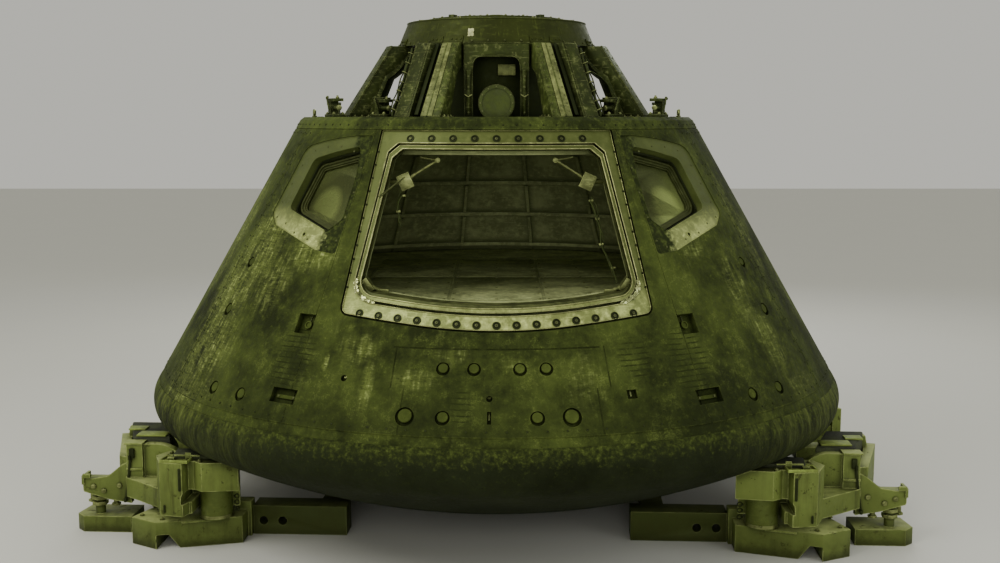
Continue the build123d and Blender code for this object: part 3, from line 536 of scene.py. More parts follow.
class Finish:
    """A material built node by node on Object coordinates."""

    def __init__(self, name, roughness, metallic=0.0, **constants):
        self.material = bpy.data.materials.new("finish_" + name)
        self.material.use_nodes = True
        self.tree = self.material.node_tree
        self.shader = self.tree.nodes["Principled BSDF"]
        self.shader.inputs["Roughness"].default_value = roughness
        self.shader.inputs["Metallic"].default_value = metallic
        for socket, value in constants.items():
            self.shader.inputs[socket.replace("_", " ")].default_value = value
        self.place = Value(self, self.add("ShaderNodeTexCoord").outputs["Object"])

    def add(self, kind, **settings):
        node = self.tree.nodes.new(kind)
        for name, value in settings.items():
            setattr(node, name, value)
        return node

    def feed(self, socket, value):
        if isinstance(value, Value):
            self.tree.links.new(value.socket, socket)
        elif hasattr(value, "__len__") and len(value) == 3 and socket.type == "RGBA":
            socket.default_value = (*value, 1.0)
        else:
            socket.default_value = value

    def fed(self, kind, inputs, output=0, **settings):
        """Adds a node, feeds its inputs by name or place, and returns one of its outputs."""
        node = self.add(kind, **settings)
        for name, value in inputs.items():
            self.feed(node.inputs[name], value)
        return Value(self, node.outputs[output])

    def math(self, operation, first, second=0.0, clamp=False):
        return self.fed("ShaderNodeMath", {0: first, 1: second}, operation=operation, use_clamp=clamp)

    def spread(self, value, low, high, to_low=0.0, to_high=1.0):
        """Maps a value from one span onto another, held at its ends."""
        return self.fed("ShaderNodeMapRange", dict(enumerate((value, low, high, to_low, to_high))))

    def mix(self, factor, first, second):
        return self.fed("ShaderNodeMix", {0: factor, 6: first, 7: second}, 2, data_type="RGBA")

    def noise(self, scale, detail=6.0, rough=0.6, vector=None, distortion=0.0):
        return self.fed("ShaderNodeTexNoise", {"Vector": vector or self.place, "Scale": scale, "Detail": detail,
                                               "Roughness": rough, "Distortion": distortion})

    def cells(self, scale):
        return self.fed("ShaderNodeTexVoronoi", {"Vector": self.place, "Scale": scale}, "Distance")

    def moved(self, scale, shift=(0.0, 0.0, 0.0), turn=(0.0, 0.0, 0.0), kind="POINT"):
        return self.fed("ShaderNodeMapping", {"Vector": self.place, "Location": shift, "Scale": scale,
                                              "Rotation": [radians(angle) for angle in turn]}, vector_type=kind)

    def parts(self, vector=None):
        node = self.add("ShaderNodeSeparateXYZ")
        self.feed(node.inputs[0], vector or self.place)
        return [Value(self, output) for output in node.outputs]

    def joined(self, x, y, z):
        return self.fed("ShaderNodeCombineXYZ", {0: x, 1: y, 2: z})

    def around(self, across, up):
        """Seamless coordinates round the axis: so many units round a radian and up a metre."""
        x, y, z = self.parts()
        flat = self.fed("ShaderNodeVectorMath", {0: self.joined(x, y, 0.0)}, operation="NORMALIZE")
        unit_x, unit_y, _ = self.parts(flat)
        return self.joined(unit_x * across, unit_y * across, z * up)

    def azimuth(self):
        """Angle from the hatch in radians, growing to the right, with its seam at the back."""
        x, y, _ = self.parts()
        return self.math("ARCTAN2", x, y * -1.0)

    def patch(self, azimuth, z, half_width, half_height, radius=None):
        """A soft spot on the hull, or at a radius, 1 in its middle and 0 at its edge."""
        place = hull_place(azimuth, z) if radius is None else ring_place(azimuth, radius, z)
        spot = self.moved((half_width, 0.9, half_height), place.translation, (0.0, 0.0, azimuth), "TEXTURE")
        return self.fed("ShaderNodeTexGradient", {0: spot}, "Fac", gradient_type="SPHERICAL")

    def line(self, value, centre, half_width):
        """1 on a line where a value is near another, falling to 0 at the line's edge."""
        return self.spread(abs(value - centre), half_width * 0.4, half_width, 1.0, 0.0)

    def normal(self):
        return self.fed("ShaderNodeNewGeometry", {}, "Normal")

    def edges(self, radius):
        """1 on the edges of a piece and 0 on its flats."""
        soft = self.fed("ShaderNodeBevel", {"Radius": radius}, samples=4)
        alike = self.fed("ShaderNodeVectorMath", {0: soft, 1: self.normal()}, "Value", operation="DOT_PRODUCT")
        return self.spread(alike, 0.80, 0.985, 1.0, 0.0)

    def crevices(self, distance):
        """0 deep in corners and 1 in the open."""
        return self.fed("ShaderNodeAmbientOcclusion", {"Distance": distance}, "AO", samples=4)

    def bump(self, height, strength, distance, under=None):
        inputs = {"Strength": strength, "Distance": distance, "Height": height}
        if under is not None:
            inputs["Normal"] = under
        return self.fed("ShaderNodeBump", inputs)

    def shade(self, colour, roughness=None, normal=None):
        for name, value in (("Base Color", colour), ("Roughness", roughness), ("Normal", normal)):
            if value is not None:
                self.feed(self.shader.inputs[name], value)
        return self.material


# Solids that show, by finish; an asterisk stands for right and for left
NODE_FINISHES = {
    "shield_char": "heat_shield",
    "shoulder_skin": "shoulder_band",
    "scorched_skin": "hatch_panel window_panel_* side_panel_* rear_panel_*",
    "surround_metal": "window_surround_*",
    "window_metal": "window_frame_*",
    "window_haze": "window_pane_*",
    "rim_skin": "rim_band",
    "deck_plate": "forward_deck",
    "hatch_metal": "hatch_frame hatch_seal_lip",
    "reveal_metal": "hatch_reveal",
    "cabin_lining": "cabin_wall cabin_roof",
    "cabin_floor": "cabin_floor",
    "tunnel_metal": "tunnel_wall",
    "ring_paint": "top_ring docking_ring",
    "gusset_pale": "gusset_front",
    "gusset_dark": "gusset_quarter gusset_side gusset_rear_side gusset_rear",
    "bay_metal": "bay_arch deck_fittings docking_latches tunnel_hatch_hinge",
    "canister_paint": "bay_canister",
    "lid_paint": "tunnel_hatch",
    "bare_metal": "hatch_arm_* hatch_latch_*",
    "cradle_paint": "cradle_yoke_front_* cradle_yoke_rear_* cradle_shoes cradle_feet",
    "pad_rubber": "cradle_pads",
    "roller_paint": "cradle_rollers",
    "beam_paint": "cradle_beams cradle_rails cradle_tie",
}

# Places where the skin is rubbed pale: azimuth, height, half width, half height, strength
PALE_PATCHES = (
    (-54.0, 1.99, 0.30, 0.36, 1.00),
    (-58.0, 1.68, 0.34, 0.38, 0.95),
    (-56.0, 1.34, 0.36, 0.30, 1.00),
    (-58.0, 1.10, 0.50, 0.18, 0.90),
    (-37.5, 1.99, 0.26, 0.14, 0.90),
    (-45.0, 1.78, 0.20, 0.22, 0.70),
    (-76.0, 2.05, 0.34, 0.60, 0.90),
    (-80.0, 1.30, 0.34, 0.40, 0.80),
    (-26.8, 1.385, 0.022, 0.055, 1.40),
    (-21.8, 1.47, 0.16, 0.10, 0.62),
    (-19.2, 1.27, 0.05, 0.18, 0.72),
    (-12.2, 1.325, 0.19, 0.06, 0.66),
    (-6.5, 1.46, 0.12, 0.05, 0.50),
    (2.5, 1.42, 0.10, 0.05, 0.35),
    (13.0, 1.30, 0.14, 0.20, 0.34),
    (40.8, 2.01, 0.12, 0.09, 0.62),
    (49.5, 1.74, 0.16, 0.26, 0.50),
    (52.0, 1.42, 0.16, 0.30, 0.46),
    (56.0, 1.10, 0.24, 0.12, 0.62),
    (64.0, 2.10, 0.16, 0.42, 0.50),
    (78.0, 1.60, 0.26, 0.50, 0.60),
    (118.0, 1.80, 0.52, 0.72, 0.48),
    (151.0, 1.45, 0.66, 0.56, 0.40),
    (-98.0, 1.40, 0.46, 0.62, 0.48),
    (-128.0, 1.95, 0.58, 0.66, 0.48),
    (-160.0, 1.55, 0.70, 0.52, 0.40),
    (176.0, 2.20, 0.62, 0.40, 0.36),
)

# Places where the skin is ribbed across: azimuth, height, half width, half height
RIBBED_PATCHES = ((-33.0, 1.38, 0.17, 0.22), (31.0, 1.38, 0.17, 0.22), (-4.9, 1.19, 0.075, 0.12),
                  (21.5, 1.42, 0.12, 0.14), (140.0, 1.40, 0.24, 0.24), (-140.0, 1.50, 0.24, 0.24))

# Seam scored round the skin under the hatch: height, half its width in degrees
RING_SEAM = (1.495, 16.0)

# Seams scored up the skin: azimuth in degrees, first height, last height
SLOPE_SEAMS = ((-15.4, 1.28, 1.50), (16.7, 1.28, 1.50), (-13.4, 1.04, 1.28), (14.6, 1.04, 1.28))


def scorched(name, dark, mid_tone, light, pale, low_dark, patches=(), seams=False, grain=1.0, edge=0.5,
             no_corner_shade=False):
    """Charred skin: clotted soot, flakes, rubbed patches with a woven brush, pits and fine scored lines, with
    painted shade low down and in corners.
    """
    skin = Finish(name, 0.7, Specular_IOR_Level=0.13, Specular_Tint=(0.72, 0.86, 0.38, 1.0))
    z = skin.parts()[2]
    cloud = skin.noise(1.3, 4.0, 0.55)
    blotch = skin.noise(4.2, 9.0, 0.70)
    mottle = skin.noise(19.0, 8.0, 0.74)
    speckle = skin.noise(95.0, 4.0, 0.70)
    brush = skin.noise(1.0, 6.0, 0.66, vector=skin.around(46.0, 3.6))
    fine_brush = skin.noise(1.0, 5.0, 0.66, vector=skin.around(110.0, 10.0))
    cross = skin.noise(1.0, 5.0, 0.62, vector=skin.moved(scale=(16.0, 16.0, 74.0), turn=(22.0, -16.0, 0.0)),
                       distortion=0.8)

    soot = blotch * 0.6 + mottle * 0.4
    soot = soot + (cloud - 0.5) * 0.7
    colour = skin.mix(skin.spread(soot, 0.38, 0.64), dark, mid_tone)
    flakes = skin.spread(mottle, 0.55, 0.68) * skin.spread(speckle, 0.46, 0.58)
    colour = skin.mix(flakes * 0.42, colour, light)
    grains = skin.spread(speckle, 0.6, 0.7) * skin.spread(blotch, 0.44, 0.6)
    colour = skin.mix(grains * 0.38, colour, light)
    curls = skin.line(skin.noise(8.0, 8.0, 0.72), 0.5, 0.01) * skin.spread(blotch, 0.5, 0.6)
    colour = skin.mix(curls * 0.55, colour, light)

    rubbed = skin.spread(brush, 0.52, 0.7) * 0.12
    for azimuth, height, half_width, half_height, strength in patches:
        spot = skin.patch(azimuth, height, half_width, half_height)
        spot = skin.spread(spot, 0.0, 0.55) * strength
        rubbed = skin.math("MAXIMUM", rubbed, spot)
    weave = brush * 0.5 + blotch * 0.25
    weave = weave + cross * 0.25
    bare = skin.math("MULTIPLY", rubbed, skin.spread(weave, 0.40, 0.58), clamp=True)
    colour = skin.mix(bare * 0.7, colour, light)
    threads = fine_brush * 0.45 + cross * 0.25
    threads = skin.spread(threads + mottle * 0.3, 0.515, 0.6)
    colour = skin.mix(threads * bare * 0.85, colour, pale)
    creases = skin.spread(fine_brush * cross, 0.2, 0.155, 0.0, 0.75)
    colour = skin.mix(skin.math("MULTIPLY", creases, rubbed, clamp=True), colour, dark)

    ribs = 0.0
    score = 0.0
    if seams:
        ripple = z * 34.0 + blotch * 0.7
        rib_line = skin.line(skin.math("FRACT", ripple), 0.5, 0.17)
        area = 0.0
        for azimuth, height, half_width, half_height in RIBBED_PATCHES:
            area = skin.math("MAXIMUM", area, skin.patch(azimuth, height, half_width, half_height))
        area = skin.spread(area, 0.0, 0.35) * skin.spread(mottle, 0.38, 0.52)
        ribs = rib_line * area
        colour = skin.mix(ribs * 0.8, colour, dark)
        angle = skin.azimuth()
        height, half = RING_SEAM
        score = skin.line(z, height, 0.0055) * skin.math("LESS_THAN", abs(angle), radians(half))
        for azimuth, low, high in SLOPE_SEAMS:
            there = skin.line(angle, radians(azimuth), 0.0024)
            away = abs(z - (low + high) / 2)
            there = there * skin.math("LESS_THAN", away, (high - low) / 2)
            score = skin.math("MAXIMUM", score, there)
        score = score * skin.spread(mottle, 0.34, 0.56)
        colour = skin.mix(score * 0.75, colour, times(dark, 0.4))

    # Painted shade: the skin darker low down, where the ground shadows it
    low_shade = skin.spread(z + cloud * 0.5, *low_dark)
    colour = skin.mix(low_shade, skin.mix(0.70, colour, dark), colour)
    pits = skin.spread(skin.cells(34.0), 0.06, 0.20, 1.0, 0.0)
    pits = pits * skin.spread(mottle, 0.5, 0.62)
    colour = skin.mix(pits * 0.8, colour, times(dark, 0.5))
    worn = skin.edges(0.008) * skin.spread(mottle, 0.42, 0.62, 0.0, edge)
    colour = skin.mix(worn, colour, light)
    # Painted shade in the skin's corners and hollows, left off where a finish asks for none
    if not no_corner_shade:
        colour = skin.mix(skin.spread(skin.crevices(0.06), 0.4, 0.92, 0.8, 0.0), colour, times(dark, 0.4))

    rough = skin.spread(mottle, 0.32, 0.68, 0.60, 0.88)
    coarse = skin.bump(blotch, 0.50 * grain, 0.030)
    clotted = skin.bump(mottle, 0.50 * grain, 0.012, coarse)
    lined = skin.bump((ribs + score * 2.0) * -1.0, 0.6, 0.005, clotted)
    brushed = skin.bump(fine_brush, 0.20 * grain, 0.005, lined)
    grainy = skin.bump(speckle - pits, 0.4 * grain, 0.004, brushed)
    return skin.shade(colour, rough, grainy)


def shield_finish():
    """The charred shield: black below, speckled at its edge, with pale streaks drawn round its sides."""
    tone = colours()
    char = Finish("shield_char", 0.78, Specular_IOR_Level=0.13, Specular_Tint=(0.72, 0.86, 0.38, 1.0))
    z = char.parts()[2]
    blotch = char.noise(2.6, 9.0, 0.68)
    mottle = char.noise(30.0, 7.0, 0.74)
    speckle = char.noise(110.0, 4.0, 0.70)
    streak = char.noise(1.0, 8.0, 0.70, vector=char.around(22.0, 2.4), distortion=0.9)
    fine = char.noise(1.0, 6.0, 0.66, vector=char.around(110.0, 7.0), distortion=0.7)
    deep = times(tone.shield, 0.45)
    colour = char.mix(char.spread(blotch, 0.36, 0.64), deep, tone.shield)
    flecks = char.spread(mottle, 0.52, 0.66) * char.spread(speckle, 0.44, 0.6)
    colour = char.mix(flecks * 0.4, colour, tone.char_mid)
    high = char.spread(z + mottle * 0.24, 1.0, 1.11)
    rim = char.mix(char.spread(mottle, 0.40, 0.62, 0.0, 0.75), tone.char_dark, tone.char_mid)
    rim = char.mix(flecks * 0.35, rim, tone.char_light)
    colour = char.mix(high, colour, rim)
    side = abs(char.azimuth())
    sides = char.spread(side, 0.55, 1.0) * char.spread(z, 0.55, 0.95)
    sides = sides * char.spread(side, 1.5, 2.2, 1.0, 0.35)
    marks = char.spread(streak, 0.4, 0.62) * char.spread(fine, 0.34, 0.62)
    marks = char.math("MAXIMUM", marks, flecks * 0.5)
    colour = char.mix(marks * (sides * 0.85), colour, tone.char_light)
    pits = char.spread(char.cells(30.0), 0.06, 0.22, 1.0, 0.0) * char.spread(blotch, 0.48, 0.6)
    colour = char.mix(pits * 0.8, colour, deep)
    rough = char.spread(mottle, 0.32, 0.68, 0.66, 0.92)
    coarse = char.bump(blotch, 0.50, 0.030)
    clotted = char.bump(mottle, 0.50, 0.014, coarse)
    streaked = char.bump(fine, 0.22, 0.006, clotted)
    return char.shade(colour, rough, char.bump(speckle - pits, 0.4, 0.005, streaked))


def metal_finish(name, colour, roughness, metallic, grime_and_shade, dirt_amount=0.5, grain=1.0, edge=0.0, scale=1.0,
                 pale=None, cloudy=0.62, fade=None, soot=None):
    """Painted or bare metal: clouded tone, grime and painted shade in corners, rubbed edges, fine scratches.

    Fade darkens it up its height: from one height, to another, down to a share of its tone.
    Soot chars it towards the hatch: all black up to one azimuth, and clean from another."""
    metal = Finish(name, roughness, metallic, Specular_IOR_Level=0.32, Specular_Tint=(0.72, 0.88, 0.42, 1.0))
    cloud = metal.noise(5.0 * scale, 8.0, 0.62)
    mottle = metal.noise(26.0 * scale, 7.0, 0.66)
    speckle = metal.noise(150.0, 3.0, 0.6)
    scratch = metal.noise(1.0, 4.0, 0.5, vector=metal.moved(scale=(9.0, 9.0, 130.0), turn=(12.0, 28.0, 40.0)))
    light = pale or times(colour, 1.45)
    dim = times(colour, cloudy)
    tone = metal.mix(metal.spread(cloud, 0.34, 0.66), dim, colour)
    tone = metal.mix(metal.spread(mottle, 0.54, 0.70, 0.0, 0.6), tone, light)
    grime = metal.spread(cloud * 0.5 + mottle * 0.5, 0.44, 0.56, dirt_amount, 0.0)
    # Painted shade in corners and hollows, taken together with the grime
    corners = metal.spread(metal.crevices(0.05), 0.55, 0.98, 0.85, 0.0)
    tone = metal.mix(metal.math("MAXIMUM", grime, corners), tone, grime_and_shade)
    tone = metal.mix(metal.spread(scratch, 0.62, 0.68, 0.0, 0.35), tone, light)
    if edge:
        rubbed = metal.edges(0.005) * metal.spread(mottle, 0.38, 0.58, 0.25, 1.0)
        tone = metal.mix(rubbed * edge, tone, light)
    if fade:
        low, high, share = fade
        height = metal.parts()[2] + cloud * 0.1
        tone = metal.mix(metal.spread(height, low, high), tone, metal.mix(share, grime_and_shade, tone))
    if soot:
        side = abs(metal.azimuth())
        side = side + (cloud - 0.5) * 0.1
        side = side + (mottle - 0.5) * 0.07
        charred = metal.mix(metal.spread(mottle, 0.46, 0.66), colours().char_dark, colours().char_mid)
        charring = metal.spread(side, radians(soot[0]), radians(soot[1]), 1.0, 0.0)
        tone = metal.mix(charring, tone, charred)
    rough = metal.spread(mottle, 0.3, 0.7, max(0.05, roughness - 0.12), min(1.0, roughness + 0.16))
    if soot:
        rough = metal.math("MAXIMUM", rough, charring * 0.92)
    coarse = metal.bump(cloud, 0.10 * grain, 0.010)
    return metal.shade(tone, rough, metal.bump(mottle + speckle, 0.14 * grain, 0.003, coarse))


# Middle of the pale oval on each pane, haze with a painted reflection
HAZE_REFLECTION_AZIMUTH, HAZE_REFLECTION_HEIGHT, HAZE_REFLECTION_RADIUS = 43.0, 2.235, 1.603


def haze_finish():
    """A hazed pane: dark along its top, with a pale oval low on its inner side, haze with a painted reflection,
    under a clear gloss.
    """
    tone = colours()
    pane = Finish("window_haze", 0.30, Specular_IOR_Level=0.30, Coat_Weight=0.10, Coat_Roughness=0.20,
                  Specular_Tint=(0.80, 0.90, 0.55, 1.0))
    cloud = pane.noise(7.0, 5.0, 0.6)
    deep = times(tone.glass, 0.34)
    pale = times(tone.glass, 2.5)
    low = pane.spread(pane.parts()[2] + cloud * 0.06, 2.18, 2.52, 1.0, 0.0)
    colour = pane.mix(low, deep, tone.glass)
    # The pale oval: haze with a painted reflection on each pane
    oval = 0.0
    for side, share in ((1, 0.55), (-1, 0.95)):
        spot = pane.patch(side * HAZE_REFLECTION_AZIMUTH, HAZE_REFLECTION_HEIGHT, 0.150, 0.150, HAZE_REFLECTION_RADIUS)
        oval = pane.math("MAXIMUM", oval, pane.spread(spot, 0.0, 0.34, 0.0, share))
    oval = oval * pane.spread(cloud, 0.3, 0.55, 0.8, 1.0)
    colour = pane.mix(oval, colour, pale)
    dust = pane.spread(pane.noise(90.0, 4.0, 0.7), 0.56, 0.75, 0.0, 0.30)
    colour = pane.mix(dust, colour, pale)
    return pane.shade(colour, pane.spread(cloud, 0.3, 0.7, 0.34, 0.52), pane.bump(cloud, 0.03, 0.004))


def cradle_finish(name, share):
    """Cradle paint at a share of its tone: chalky on top with dust and painted light from above, chipped on its
    edges, with rust and drips below, and painted shade low down and in corners.
    """
    tone = colours()
    ground = times(tone.cradle, share)
    paint = Finish(name, 0.55, Specular_IOR_Level=0.28, Specular_Tint=(0.78, 0.92, 0.48, 1.0))
    cloud = paint.noise(2.6, 7.0, 0.6)
    mottle = paint.noise(15.0, 8.0, 0.66)
    speckle = paint.noise(110.0, 4.0, 0.62)
    drip = paint.noise(1.0, 5.0, 0.6, vector=paint.moved(scale=(13.0, 13.0, 1.5)))
    z = paint.parts()[2]
    dim = times(ground, 0.62)
    light = times(ground, 1.55)
    chalk_and_top_light = (min(1.0, ground[0] * 2.5), min(1.0, ground[1] * 2.2), min(1.0, ground[2] * 3.4))
    colour = paint.mix(paint.spread(cloud, 0.32, 0.66), dim, ground)
    colour = paint.mix(paint.spread(mottle, 0.56, 0.74, 0.0, 0.40), colour, light)
    # Upward faces paler: dust, and painted light from above
    upward = paint.spread(paint.parts(paint.normal())[2], 0.80, 0.97)
    dust = paint.spread(cloud + mottle * 0.6, 0.62, 0.92, 0.1, 0.8)
    grime = paint.spread(drip, 0.5, 0.64) * paint.spread(cloud, 0.4, 0.62, 0.7, 0.1)
    colour = paint.mix(grime, colour, tone.rust)
    # Painted shade: darker on the lower parts
    colour = paint.mix(paint.spread(z, 0.1, 0.48, 0.46, 0.0), colour, times(ground, 0.28))
    colour = paint.mix(upward * dust, colour, chalk_and_top_light)
    low = paint.spread(z, 0.0, 0.16, 0.75, 0.0) * paint.spread(mottle, 0.38, 0.6)
    colour = paint.mix(low, colour, tone.rust)
    # Painted shade in corners, in a dark rust tone
    corners = paint.spread(paint.crevices(0.07), 0.50, 0.97, 0.85, 0.0)
    colour = paint.mix(corners, colour, times(tone.rust, 0.5))
    chips = paint.spread(mottle + speckle * 0.25, 0.735, 0.765, 0.0, 0.85)
    colour = paint.mix(chips, colour, tone.rust)
    worn = paint.edges(0.013) * paint.spread(mottle, 0.36, 0.52)
    colour = paint.mix(worn, colour, chalk_and_top_light)
    rough = paint.spread(mottle, 0.3, 0.7, 0.46, 0.74)
    coarse = paint.bump(mottle - chips * 0.35, 0.16, 0.006)
    return paint.shade(colour, rough, paint.bump(speckle, 0.12, 0.002, coarse))


def rubber_finish():
    tone = colours()
    rubber = Finish("pad_rubber", 0.82, Specular_IOR_Level=0.35)
    cloud = rubber.noise(6.0, 7.0, 0.62)
    speckle = rubber.noise(70.0, 5.0, 0.7)
    ribs = rubber.line(rubber.math("FRACT", rubber.parts()[2] * 24.0), 0.5, 0.22)
    dusty = times(tone.rubber, 3.6)
    colour = rubber.mix(rubber.spread(cloud + speckle * 0.4, 0.62, 0.86), tone.rubber, dusty)
    normal = rubber.bump(speckle - ribs, 0.35, 0.004)
    return rubber.shade(colour, rubber.spread(cloud, 0.3, 0.7, 0.70, 0.92), normal)


def ring_paint_finish(name, colour, roughness):
    """Dark coated metal with soft rubbed streaks round the axis, pale nicks and painted shade in its corners.
    """
    coat = Finish(name, roughness, 0.15, Specular_IOR_Level=0.25, Specular_Tint=(0.72, 0.84, 0.40, 1.0))
    cloud = coat.noise(4.0, 8.0, 0.64)
    mottle = coat.noise(24.0, 7.0, 0.66)
    band = coat.noise(1.0, 5.0, 0.6, vector=coat.around(7.0, 34.0))
    run = coat.noise(1.0, 5.0, 0.6, vector=coat.around(60.0, 5.0))
    dim = times(colour, 0.5)
    light = times(colour, 2.3)
    tone = coat.mix(coat.spread(cloud, 0.34, 0.66), dim, colour)
    tone = coat.mix(coat.spread(band, 0.56, 0.72, 0.0, 0.45), tone, light)
    tone = coat.mix(coat.spread(run * mottle, 0.3, 0.4, 0.0, 0.55), tone, light)
    tone = coat.mix(coat.edges(0.006) * coat.spread(mottle, 0.4, 0.6), tone, light)
    # Painted shade in corners and hollows
    tone = coat.mix(coat.spread(coat.crevices(0.05), 0.5, 0.97, 0.8, 0.0), tone, times(colour, 0.3))
    rough = coat.spread(mottle, 0.3, 0.7, roughness - 0.12, roughness + 0.18)
    return coat.shade(tone, rough, coat.bump(mottle, 0.14, 0.004, coat.bump(cloud, 0.1, 0.01)))


def make_finishes():
    tone = colours()
    scorched("scorched_skin", tone.char_dark, tone.char_mid, tone.char_light, tone.char_pale, (1.10, 1.62),
             PALE_PATCHES, seams=True, edge=0.4)
    scorched("shoulder_skin", tone.char_dark, tone.char_mid, tone.char_light, tone.char_pale, (0.0, 0.1),
             PALE_PATCHES[:4], edge=0.15)
    scorched("plug_char", times(tone.char_mid, 0.6), times(tone.char_mid, 1.15), times(tone.char_light, 0.7),
             tone.char_light, (0.0, 0.1), grain=0.8)
    scorched("packing_char", times(tone.char_dark, 0.8), times(tone.char_mid, 0.8),
             times(tone.char_light, 0.7), tone.char_light, (0.0, 0.1), grain=0.8, no_corner_shade=True)
    scorched("rim_skin", times(tone.char_dark, 1.2), times(tone.char_mid, 1.25), tone.char_light,
             tone.char_pale, (0.0, 0.1), grain=0.7)
    shield_finish()
    metal_finish("surround_metal", tone.pale_metal, 0.54, 0.04, (0.040, 0.053, 0.012), 0.50, edge=0.25,
                 scale=1.2, cloudy=0.74, fade=(2.13, 2.30, 0.08), soot=(35.2, 36.8))
    metal_finish("hatch_metal", tone.pale_metal, 0.42, 0.25, (0.060, 0.075, 0.018), 0.66, edge=0.6, cloudy=0.80,
                 fade=(1.70, 1.90, 0.10))
    metal_finish("window_metal", times(tone.pale_metal, 0.17), 0.45, 0.3, (0.02, 0.027, 0.008), 0.5,
                 edge=0.45, pale=times(tone.pale_metal, 0.34))
    metal_finish("tunnel_metal", times(tone.bay_metal, 0.42), 0.6, 0.2, (0.006, 0.008, 0.003), 0.6, edge=0.5)
    metal_finish("roller_paint", times(tone.cradle, 0.6), 0.34, 0.1, (0.04, 0.052, 0.012), 0.25, grain=0.4,
                 edge=0.4, cloudy=0.85)
    metal_finish("bolt_metal", times(tone.bare_metal, 0.45), 0.42, 0.4, (0.014, 0.017, 0.005), 0.5, edge=0.8)
    metal_finish("bare_metal", tone.bare_metal, 0.36, 0.55, (0.030, 0.034, 0.010), 0.55, edge=0.9)
    metal_finish("dark_metal", tone.dark_metal, 0.52, 0.35, (0.006, 0.007, 0.003), 0.4, edge=0.7)
    metal_finish("reveal_metal", times(tone.pale_metal, 0.24), 0.48, 0.3, (0.016, 0.019, 0.006), 0.7,
                 edge=0.5)
    metal_finish("cabin_lining", tone.lining, 0.66, 0.05, (0.10, 0.12, 0.045), 0.45, edge=0.3, cloudy=0.8)
    metal_finish("cabin_floor", times(tone.lining, 1.3), 0.58, 0.1, (0.07, 0.08, 0.03), 0.5, cloudy=0.75)
    metal_finish("bay_metal", tone.bay_metal, 0.50, 0.30, (0.010, 0.012, 0.004), 0.6, edge=0.9,
                 pale=tone.bare_metal)
    metal_finish("canister_paint", times(tone.bay_metal, 1.25), 0.42, 0.1, (0.012, 0.015, 0.005), 0.5,
                 edge=0.6)
    metal_finish("deck_plate", times(tone.bay_metal, 0.8), 0.62, 0.2, (0.01, 0.012, 0.004), 0.6)
    metal_finish("gusset_pale", times(tone.pale_metal, 0.46), 0.46, 0.15, (0.03, 0.036, 0.01), 0.6, edge=0.9,
                 pale=times(tone.pale_metal, 0.8))
    metal_finish("gusset_dark", tone.bay_metal, 0.52, 0.25, (0.010, 0.012, 0.004), 0.6, edge=1.0,
                 pale=tone.bare_metal)
    metal_finish("harness", times(tone.bay_metal, 0.8), 0.6, 0.0, (0.01, 0.012, 0.004), 0.5, scale=3.0)
    metal_finish("foil", (0.50, 0.54, 0.24), 0.24, 0.80, (0.05, 0.06, 0.016), 0.75, grain=1.0, scale=3.0)
    metal_finish("bead_metal", (0.38, 0.40, 0.165), 0.32, 0.45, (0.05, 0.055, 0.018), 0.45, edge=0.4)
    metal_finish("gasket_rubber", (0.012, 0.015, 0.006), 0.60, 0.0, (0.006, 0.007, 0.003), 0.4)
    metal_finish("gusset_mottled", times(tone.bay_metal, 2.1), 0.5, 0.2, (0.014, 0.019, 0.005), 0.75,
                 edge=0.9, pale=times(tone.pale_metal, 0.55), cloudy=0.5)
    metal_finish("tag_paper", (0.62, 0.64, 0.33), 0.70, 0.0, (0.20, 0.21, 0.08), 0.5, scale=6.0)
    metal_finish("cradle_pale", times(tone.cradle, 1.9), 0.5, 0.0, (0.07, 0.075, 0.02), 0.5, edge=0.4)
    metal_finish("roller_metal", times(tone.bare_metal, 1.05), 0.34, 0.65, (0.04, 0.045, 0.014), 0.5,
                 edge=0.9)
    ring_paint_finish("ring_paint", (0.036, 0.046, 0.0088), 0.52)
    ring_paint_finish("lid_paint", (0.046, 0.057, 0.0125), 0.48)
    haze_finish()
    cradle_finish("cradle_paint", 1.0)
    # The beams take the cradle's paint at a lower share: painted shade for beams lying in shade
    cradle_finish("beam_paint", 0.40)
    rubber_finish()


class CAPSULE_OT_finishes(bpy.types.Operator):
    """Makes the finishes and gives them to the capsule's and the cradle's solids"""

    bl_idname = "capsule.finishes"
    bl_label = "Finishes"

    def execute(self, context):
        make_finishes()
        for material, nodes in NODE_FINISHES.items():
            for _, side in SIDES:
                for node in nodes.replace("*", side).split():
                    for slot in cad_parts[node].material_slots:
                        slot.material = finish_named(material)
        return {"FINISHED"}


# ---------------------------------------------------------------- hatch fasteners

# Sill's row of bolts: height of its middle, half its width, where its curve ends, and its climb from there
SILL_MIDDLE_Z, SILL_BOLT_HALF, SILL_BEND, SILL_BEND_RISE, SILL_CLIMB = 1.618, 0.815, 0.45, 0.0193, 0.066
SILL_CURVE = 10.5

# Top row of bolts: height and half its width; depth of the flange's face under the skin
TOP_BOLT_Z, TOP_BOLT_HALF = 2.685, 0.5385
FLANGE_INSET = 0.020

# Cups round the bolts: sides, height, depth, and how far they stand off the flange
CUP_SIDES, CUP_HEIGHT, CUP_DEPTH, CUP_RISE = 28, 0.005, 0.0045, 0.0015

# Screws down each side of the hatch: how many, first height, step up, and half width at a height
SIDE_SCREW_COUNT, SIDE_SCREW_Z, SIDE_SCREW_STEP = 11, 1.80, 0.080
SIDE_SCREW_HALF, SIDE_SCREW_HALF_Z, SIDE_SCREW_SLOPE = 0.946, 1.56, 0.1977


def sill_height(x):
    """Height of the row of bolts along the curved sill."""
    reach = abs(x)
    if reach < SILL_BEND:
        return SILL_MIDDLE_Z + reach * reach / SILL_CURVE
    return SILL_MIDDLE_Z + SILL_BEND_RISE + (reach - SILL_BEND) * SILL_CLIMB


def row_of(count, half):
    """So many widths, evenly spaced from one side to the other."""
    return [half * (2 * index / (count - 1) - 1) for index in range(count)]


